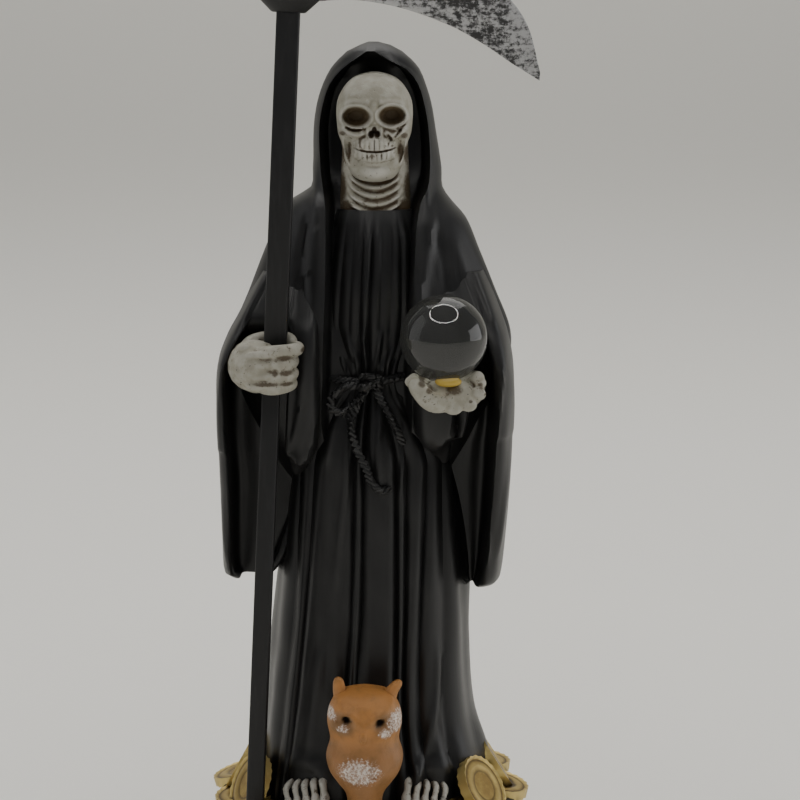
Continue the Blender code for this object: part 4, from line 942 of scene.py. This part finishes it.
class Paint:
    """A material, built one node at a time on its Principled shader."""

    def __init__(self, name, **constants):
        self.material = bpy.data.materials.new(name)
        self.material.use_nodes = True
        self.tree = self.material.node_tree
        self.shader = self.tree.nodes["Principled BSDF"]
        for key, value in constants.items():
            self.shader.inputs[key.replace("_", " ").title().replace("Ior", "IOR")].default_value = value
        self.place = self.node("ShaderNodeTexCoord", out="Object")

    def node(self, kind, settings=(), sockets=(), out=0):
        made = self.tree.nodes.new(kind)
        for key, value in dict(settings).items():
            setattr(made, key, value)
        for key, value in dict(sockets).items():
            self.feed(made.inputs[key], value)
        return Wire(self, made.outputs[out])

    def feed(self, socket, value):
        if isinstance(value, Wire):
            self.tree.links.new(value.socket, socket)
        else:
            socket.default_value = value

    def noise(self, size_mm, detail=3.0, roughness=0.55, stretch=(1, 1, 1)):
        """Cloudy noise with clouds of about this size."""
        spot = self.node("ShaderNodeMapping", {}, {"Vector": self.place, "Scale": stretch})
        return self.node("ShaderNodeTexNoise", {}, {"Vector": spot, "Scale": 1000 / size_mm, "Detail": detail,
                                                    "Roughness": roughness})

    def attribute(self, name):
        return self.node("ShaderNodeAttribute", {"attribute_name": name}, out="Fac")

    def blend(self, share, first, second):
        """From the first colour to the second by the share."""
        colours = [value if isinstance(value, Wire) else (*value, 1.0) for value in (first, second)]
        return self.node("ShaderNodeMix", {"data_type": "RGBA"},
                         {0: share, 6: colours[0], 7: colours[1]}, out=2)

    def finish(self, colour, roughness, height=None, depth_mm=0.1, metal=None):
        self.feed(self.shader.inputs["Base Color"], colour)
        self.feed(self.shader.inputs["Roughness"], roughness)
        if metal is not None:
            self.feed(self.shader.inputs["Metallic"], metal)
        if height is not None:
            relief = self.node("ShaderNodeBump", {}, {"Strength": 1.0, "Distance": depth_mm * 0.001,
                                                      "Height": height})
            self.feed(self.shader.inputs["Normal"], relief)
        return self.material


def robe_paint():
    """Satin black paint over brushed cloth, with a painted highlight along the ridges of its folds."""
    paint = Paint("robe_black", specular_ior_level=0.42)
    wide, fine = paint.noise(9.0), paint.noise(0.5, 2.0)
    brushed = paint.noise(0.9, 3.0, stretch=(1, 1, 0.12))
    ridge_highlight = paint.attribute("edge")
    tone = paint.blend(wide.between(0.35, 0.7), (0.0048, 0.0048, 0.0050), (0.0085, 0.0084, 0.0086))
    # Painted highlight: the sharp ridges of the folds are made lighter grey.
    tone = paint.blend(ridge_highlight * 0.5, tone, (0.020, 0.020, 0.020))
    return paint.finish(tone, 0.30 + 0.16 * wide + 0.06 * fine, brushed * 0.7 + fine * 0.3, 0.035)


def bone_paint():
    """Bone paint: a brown wash with painted shade in the hollows, painted highlights on edges and chin, small
    dark pits, and brown stains with painted shade down the sides of the face and neck.
    """
    paint = Paint("bone")
    shade, edge, crease = paint.attribute("shade"), paint.attribute("edge"), paint.attribute("crease")
    wide, fine = paint.noise(3.2), paint.noise(0.55, 4.0, 0.7)
    specks = paint.noise(0.9, 2.0)
    aged = paint.attribute("aged")
    stains = paint.noise(2.1, 5.0, 0.65)
    tone = paint.blend(wide.between(0.35, 0.7), (0.29, 0.275, 0.215), (0.39, 0.375, 0.315))
    # Painted highlight: sharp edges and knuckles are made paler.
    tone = paint.blend(edge * 0.8, tone, (0.55, 0.54, 0.49))
    # Painted shade together with the brown wash: browner where a point is shut in or creased, such as the
    # temples under the hood.
    wash_and_shade = (shade * 1.0 + crease * 0.45 + (fine - 0.5) * 0.7).between(0.26, 0.95)
    tone = paint.blend(wash_and_shade * 0.9, tone, (0.075, 0.048, 0.022))
    tone = paint.blend(paint.attribute("socket") * (0.75 + fine * 0.4), tone, (0.19, 0.14, 0.080))
    # Painted highlight: the chin and the part round the mouth are made paler.
    tone = paint.blend(paint.attribute("pale") * 0.8, tone, (0.60, 0.59, 0.53))
    pits = specks.between(0.67, 0.73)
    tone = paint.blend(pits * aged * 0.8, tone, (0.04, 0.028, 0.016))
    blots = (stains + (shade + crease) * 0.12).between(0.60, 0.70)
    tone = paint.blend(blots * aged * 0.75, tone, (0.075, 0.045, 0.018))
    # Brown stains, and painted shade down the sides of the face, jaw and neck.
    stain_and_shade = (paint.attribute("stain_and_shade") * (fine * 1.6 + 0.1)).between(0.15, 0.80)
    tone = paint.blend(stain_and_shade * 0.9, tone, (0.060, 0.036, 0.012))
    return paint.finish(tone, 0.52 + 0.1 * fine, wide * 0.5 + fine * 0.5 - pits * 0.6, 0.14)


def owl_paint():
    """Orange-brown owl, browner on its body, with white feathers brushed on and dark eyes."""
    paint = Paint("owl_brown")
    shade, edge = paint.attribute("shade"), paint.attribute("edge")
    white, eye, head = paint.attribute("white"), paint.attribute("eye"), paint.attribute("head")
    wide, fine = paint.noise(3.5), paint.noise(0.7, 3.0)
    crease = paint.attribute("crease")
    tone = paint.blend(head, (0.33, 0.155, 0.052), (0.46, 0.20, 0.050))
    tone = paint.blend(wide.between(0.4, 0.75) * 0.35, tone, (0.12, 0.070, 0.020))
    tone = paint.blend(paint.attribute("disc") * 0.75, tone, (0.20, 0.115, 0.050))
    tone = paint.blend((shade * 0.8 + crease * 0.3).between(0.3, 1.0) * 0.7, tone, (0.05, 0.018, 0.007))
    dots = paint.noise(0.75, 3.0, 0.7)
    brushed = (white * 1.1 + dots * 2.4 - 1.6).between(0.10, 0.75)
    tone = paint.blend(brushed * 0.9, tone, (0.56, 0.43, 0.36))
    tone = paint.blend((brushed * dots).between(0.42, 0.62), tone, (0.80, 0.72, 0.64))
    tone = paint.blend(eye, tone, (0.012, 0.009, 0.006))
    return paint.finish(tone, 0.5 - 0.2 * eye, fine + wide * 0.5, 0.12)


def gold_paint():
    """Old gold paint, with painted highlights on its edges and painted shade in the hollows."""
    paint = Paint("old_gold")
    shade, edge, crease = paint.attribute("shade"), paint.attribute("edge"), paint.attribute("crease")
    wide, fine = paint.noise(4.0), paint.noise(0.8, 3.0)
    tone = paint.blend(wide.between(0.35, 0.7), (0.26, 0.165, 0.040), (0.40, 0.28, 0.075))
    # Painted highlight: sharp edges and rims are made brighter gold.
    tone = paint.blend(edge * 0.9, tone, (0.68, 0.53, 0.20))
    # Painted shade: darker where a point is shut in or creased.
    tone = paint.blend((shade + crease * 1.3).between(0.2, 0.95) * 0.9, tone, (0.04, 0.022, 0.006))
    return paint.finish(tone, 0.32 + 0.15 * fine, fine, 0.08, metal=0.6)


def base_paint():
    """Dull black paint of the base."""
    paint = Paint("base_black")
    wide = paint.noise(6.0)
    tone = paint.blend(wide, (0.010, 0.010, 0.010), (0.022, 0.021, 0.02))
    return paint.finish(tone, 0.5 + 0.1 * wide, paint.noise(0.9, 3.0), 0.08)


def shaft_paint():
    """Plain black plastic, a little rubbed."""
    paint = Paint("shaft_black", specular_ior_level=0.4)
    rubbed = paint.noise(1.4, 4.0, stretch=(1, 1, 0.15))
    tone = paint.blend(rubbed.between(0.45, 0.75), (0.0075, 0.0075, 0.0078), (0.013, 0.013, 0.0135))
    return paint.finish(tone, 0.44 + 0.12 * rubbed, rubbed, 0.03)


def blade_paint():
    """Black blade with silver brushed over its hammered face."""
    paint = Paint("blade_silver")
    wide, fine = paint.noise(7.0, 3.0), paint.noise(1.3, 6.0, 0.75)
    streak = paint.noise(1.0, 4.0, 0.7, stretch=(0.25, 1, 1))
    rim = paint.attribute("rim")
    flecks = (fine * 0.6 + streak * 0.4 + wide * 0.35 + rim * 0.12).between(0.71, 0.85)
    tone = paint.blend(wide, (0.014, 0.014, 0.015), (0.040, 0.039, 0.038))
    tone = paint.blend(flecks, tone, (0.50, 0.50, 0.50))
    return paint.finish(tone, 0.5 - 0.15 * flecks, fine * 0.7 + wide, 0.35, metal=flecks * 0.6)


def clear_glass():
    """The ball's clear glass, with a faint yellow-green tint."""
    return Paint("clear_glass", base_color=(0.93, 0.94, 0.87, 1.0), roughness=0.0, ior=1.5,
                 transmission_weight=0.98).material


def amber_glue():
    """Clear yellow glue."""
    return Paint("amber_glue", base_color=(0.78, 0.55, 0.10, 1.0), roughness=0.12, ior=1.45,
                 transmission_weight=0.35).material


# Painted shade, painted highlights and wear, worked out from the finished shape

# Brown stains on the bone, and painted shade in the long patches down the sides of the face, jaw and neck: x,
# height, half width, half height
STAINS_AND_SHADE = [
    (8.7, 205.6, 0.8, 0.7), (6.0, 203.6, 0.7, 0.6), (7.1, 200.9, 0.6, 0.6), (-3.7, 205.2, 2.7, 0.6),
    (-6.7, 198.4, 1.1, 4.0), (11.0, 198.4, 1.3, 4.2), (-5.8, 183.4, 3.4, 3.6), (10.8, 183.8, 3.2, 3.8),
    (-7.2, 189.0, 2.6, 7.5), (11.8, 189.0, 2.6, 7.5), (-6.6, 204.2, 1.6, 1.0), (10.4, 203.6, 1.6, 1.4),
    (-8.6, 201.0, 1.7, 8.0), (13.0, 201.0, 1.7, 8.0), (-16.7, 147.0, 1.5, 1.3), (-21.3, 138.2, 2.8, 0.9),
    (-21.8, 145.3, 3.4, 1.3), (-21.4, 141.2, 3.0, 1.2), (-24.4, 141.4, 1.4, 1.8),
    (-26.8, 138.2, 5.8, 0.9), (23.8, 137.0, 3.6, 2.0), (15.2, 139.0, 1.8, 1.5), (17.2, 137.2, 1.6, 1.3),
    (30.8, 138.3, 1.2, 0.9), (32.4, 135.8, 0.7, 0.7), (28.2, 134.0, 0.9, 0.7), (32.6, 142.4, 1.0, 0.7),
]
AO_RAYS = 14
AO_REACH = 4.0


def shade_highlights_and_wear(obj):
    """Stores on each point how shut in it is and how sharp an edge or crease it is, for painted shade and
    painted highlights, with the chin's painted highlight, the stains and the owl's markings.
    """
    mesh = obj.data
    count = len(mesh.vertices)
    places = np.zeros(count * 3)
    mesh.vertices.foreach_get("co", places)
    places = places.reshape(-1, 3)
    normals = np.zeros(count * 3)
    mesh.vertices.foreach_get("normal", normals)
    normals = normals.reshape(-1, 3)
    pairs = np.zeros(len(mesh.edges) * 2, int)
    mesh.edges.foreach_get("vertices", pairs)
    pairs = pairs.reshape(-1, 2)

    def spread(values):
        total, number = np.zeros_like(values), np.zeros(count)
        for a, b in ((0, 1), (1, 0)):
            np.add.at(total, pairs[:, a], values[pairs[:, b]])
            np.add.at(number, pairs[:, a], 1)
        number = np.maximum(number, 1)
        return total / (number[:, None] if values.ndim > 1 else number)

    sharp = ((places - spread(places)) * normals).sum(axis=1) / UNIT
    sharp = 0.5 * (sharp + spread(sharp))
    edge = np.clip(sharp / 0.10, 0, 1)
    crease = np.clip(-sharp / 0.07, 0, 1)

    painted = np.zeros(count, int)
    for face in mesh.polygons:
        for index in face.vertices:
            painted[index] = face.material_index
    bm = bmesh.new()
    bm.from_mesh(mesh)
    tree = BVHTree.FromBMesh(bm)
    bm.free()
    rng = np.random.default_rng(7)
    rays = rng.normal(size=(AO_RAYS, 3))
    rays /= np.linalg.norm(rays, axis=1)[:, None]
    shade = np.zeros(count)
    for index in np.nonzero((painted == BONE) | (painted == OWL_PAINT) | (painted == GOLD))[0]:
        normal = Vector(normals[index])
        start = Vector(places[index]) + normal * 0.12 * UNIT
        shut = 0.0
        for ray in rays:
            way = (Vector(ray) + normal * 1.02).normalized()
            gap = tree.ray_cast(start, way, AO_REACH * UNIT)[3]
            if gap is not None:
                shut += 1 - gap / (AO_REACH * UNIT)
        shade[index] = shut / AO_RAYS
    shade = np.clip(0.5 * (shade + spread(shade)) * 1.7, 0, 1)
    face_x = places[:, 0] / UNIT - SKULL_MIDDLE
    pits = [oval(face_x, places[:, 2] / UNIT, (x, z), (wide, high)) for x, z, wide, high in SOCKETS]
    socket = ramp(np.min(pits, axis=0), 0.98, 0.80) * (places[:, 1] / UNIT < -10) * (painted == BONE)

    x, z = places[:, 0] / UNIT - OWL_MIDDLE[0], places[:, 2] / UNIT
    ahead = normals[:, 1] < 0.2
    belly = ramp(oval(x, z, (-1.4, 32.0), (9.6, 6.2)), 1.0, 0.3)
    cheeks = np.maximum(ramp(oval(x, z, (8.7, 45.4), (3.7, 5.4)), 1.0, 0.3),
                        ramp(oval(x, z, (-9.6, 47.4), (3.4, 3.2)), 1.0, 0.3))
    spots = np.maximum(ramp(oval(x, z, (6.0, 42.6), (3.2, 2.4)), 1.0, 0.3),
                       ramp(oval(x, z, (-5.8, 44.0), (3.0, 1.6)), 1.0, 0.3))
    eye = np.max([ramp(oval(x, z, middle, (1.25, 1.4)), 1.0, 0.8) for middle in OWL_EYES], axis=0)
    aged = np.where(painted == BONE, 1 - ramp(places[:, 2] / UNIT, 205.0, 208.5), 0.0)
    # Brown stains and painted side shade, from the table of patches.
    spots_at = [ramp(oval(places[:, 0] / UNIT, places[:, 2] / UNIT, (a, b), (wide, high)), 1.0, 0.2)
                for a, b, wide, high in STAINS_AND_SHADE]
    stain_and_shade = np.max(spots_at, axis=0) * (normals[:, 1] < 0.3) * (painted == BONE)
    # Painted highlight on the chin and round the mouth, at the front of the face.
    pale = ramp(oval(face_x, places[:, 2] / UNIT, (0.2, 194.0), (5.6, 3.4)), 1.0, 0.2)
    pale = np.maximum(pale, 0.6 * ramp(oval(face_x, places[:, 2] / UNIT, (0.2, 199.6), (6.2, 4.6)), 1.0, 0.5))
    pale *= (painted == BONE) * (1 - crease) * (places[:, 1] / UNIT < -15)
    discs = [ramp(oval(x, z, (side * 6.0, 45.2), (4.6, 4.4)), 1.0, 0.5) for side in (-1, 1)]
    values = {"shade": shade, "edge": edge, "crease": crease, "socket": socket, "aged": aged,
              "stain_and_shade": stain_and_shade, "pale": pale, "disc": np.max(discs, axis=0) * ahead,
              "white": np.maximum(np.maximum(belly, cheeks), spots) * ahead,
              "eye": eye * ahead, "head": ramp(z, 36.0, 43.0)}
    for name, value in values.items():
        attribute = mesh.attributes.new(name, "FLOAT", "POINT")
        attribute.data.foreach_set("value", value.astype(np.float32))


def mark_rim(obj):
    """Stores on each point how near it lies to the blade's thin rim."""
    mesh = obj.data
    rim = mesh.attributes.new("rim", "FLOAT", "POINT")
    for vert in mesh.vertices:
        rim.data[vert.index].value = float(ramp(abs(vert.co.y / UNIT - GRIP[1]), 1.4, 0.4))


# Pieces

cloths = [gown(), cloak(), sleeve("left_sleeve", LEFT_SLEEVE, LEFT_WALL),
          sleeve("right_sleeve", RIGHT_SLEEVE, RIGHT_WALL)]
figure = joined("figure_casting", cloths + [neck(), skull(), fist(), cupped_hand()]
                + rope() + owl() + feet() + [base()] + coins())
for paint in (robe_paint(), bone_paint(), owl_paint(), gold_paint(), base_paint()):
    figure.data.materials.append(paint)
shade_highlights_and_wear(figure)
figure.data.shade_smooth()
figure.data.set_sharp_from_angle(angle=math.radians(50))
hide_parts("figure")
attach(figure, "root")

blade_and_shaft = scythe()
mark_rim(blade_and_shaft)
for paint in (shaft_paint(), blade_paint()):
    blade_and_shaft.data.materials.append(paint)
blade_and_shaft.data.shade_smooth()
blade_and_shaft.data.set_sharp_from_angle(angle=math.radians(50))
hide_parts("scythe")
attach(blade_and_shaft, "root")

crystal = ball()
crystal.data.materials.append(clear_glass())
crystal.data.shade_smooth()
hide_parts("crystal_ball")
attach(crystal, "root")

glue = glue_bead()
glue.data.materials.append(amber_glue())
glue.data.shade_smooth()
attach(glue, "root")


# Floor, light and camera

def backdrop():
    """A pale floor that sweeps up behind the figure."""
    bm = bmesh.new()
    bmesh.ops.create_grid(bm, x_segments=1, y_segments=48, size=0.5)
    depth, sweep, height = 2.4, 0.5, 1.8
    for vert in bm.verts:
        along = (vert.co.y + 0.5) * (depth + sweep * math.pi / 2 + height)
        y, z = along - 1.4, 0.0
        if along > depth:
            turn = min((along - depth) / sweep, math.pi / 2)
            y, z = depth - 1.4 + sweep * math.sin(turn), sweep * (1 - math.cos(turn))
            z += max(along - depth - sweep * math.pi / 2, 0)
        vert.co = Vector((vert.co.x * 5.0, y, z))
    made = mesh_object(bm, "backdrop")
    made.data.shade_smooth()
    return made


def lamp(name, place, aim, size, energy, colour=(1.0, 1.0, 1.0)):
    """A rectangular lamp that looks at its aim."""
    light = bpy.data.lights.new(name, "AREA")
    light.shape = "RECTANGLE"
    light.size, light.size_y = size
    light.energy = energy
    light.color = colour
    made = bpy.data.objects.new(name, light)
    made.location = place
    made.rotation_euler = (Vector(aim) - Vector(place)).to_track_quat("-Z", "Y").to_euler()
    bpy.context.scene.collection.objects.link(made)
    return made


RING_RADIUS = 0.46
RING_TUBE = 0.018
RING_PLACE = (0.021, -0.26, 0.92)


def ring_lamp():
    """A ring-shaped tube lamp overhead, which shows as a thin bright ring in the ball."""
    bm = bmesh.new()
    bmesh.ops.create_circle(bm, segments=12, radius=RING_TUBE)
    bmesh.ops.rotate(bm, matrix=Matrix.Rotation(math.pi / 2, 3, "X"), verts=bm.verts)
    bmesh.ops.translate(bm, vec=(RING_RADIUS, 0.0, 0.0), verts=bm.verts)
    bmesh.ops.spin(bm, geom=bm.verts[:] + bm.edges[:], axis=(0, 0, 1), cent=(0, 0, 0), angle=2 * math.pi,
                   steps=96, use_merge=True)
    bmesh.ops.translate(bm, vec=RING_PLACE, verts=bm.verts)
    made = mesh_object(bm, "ring_lamp")
    glow = Paint("ring_glow", emission_color=(1.0, 0.98, 0.94, 1.0), emission_strength=15.0)
    made.data.materials.append(glow.material)
    return made


floor = backdrop()
# Painted light: the backdrop glows by its own emission, brighter on the floor than higher up the sweep.
pale = Paint("pale_backdrop", base_color=(0.60, 0.585, 0.55, 1.0), roughness=0.9, emission_strength=0.50)
height = pale.node("ShaderNodeSeparateXYZ", {}, {"Vector": pale.place}, out="Z")
low_glow = pale.blend((height + 0.35).between(0.0, 0.50), (1.90, 1.86, 1.76), (0.300, 0.297, 0.265))
pale.feed(pale.shader.inputs["Emission Color"],
          pale.blend((height - 0.15).between(0.0, 0.25), low_glow, (0.400, 0.397, 0.355)))
floor.data.materials.append(pale.material)
ring_light = ring_lamp()

world = bpy.data.worlds.new("studio")
world.use_nodes = True
world.node_tree.nodes["Background"].inputs["Color"].default_value = (0.95, 0.96, 1.0, 1.0)
world.node_tree.nodes["Background"].inputs["Strength"].default_value = 0.20
bpy.context.scene.world = world
lamp("overhead", (0.05, 0.60, 1.20), (0.0, 0.0, 0.15), (1.3, 0.8), 5.5, (1.0, 0.985, 0.96))
lamp("left_glow", (-1.15, -0.10, 0.60), (0.0, 0.0, 0.12), (0.9, 1.2), 1.6)
lamp("right_glow", (1.15, 0.05, 0.30), (0.0, 0.0, 0.18), (0.9, 0.5), 2.6)

lens = bpy.data.cameras.new("camera")
lens.lens = CAMERA_LENS
lens.sensor_width = CAMERA_SENSOR
camera = bpy.data.objects.new("camera", lens)
camera.location = CAMERA_PLACE
camera.rotation_euler = (CAMERA_PITCH, 0.0, 0.0)
bpy.context.scene.collection.objects.link(camera)
bpy.context.scene.camera = camera
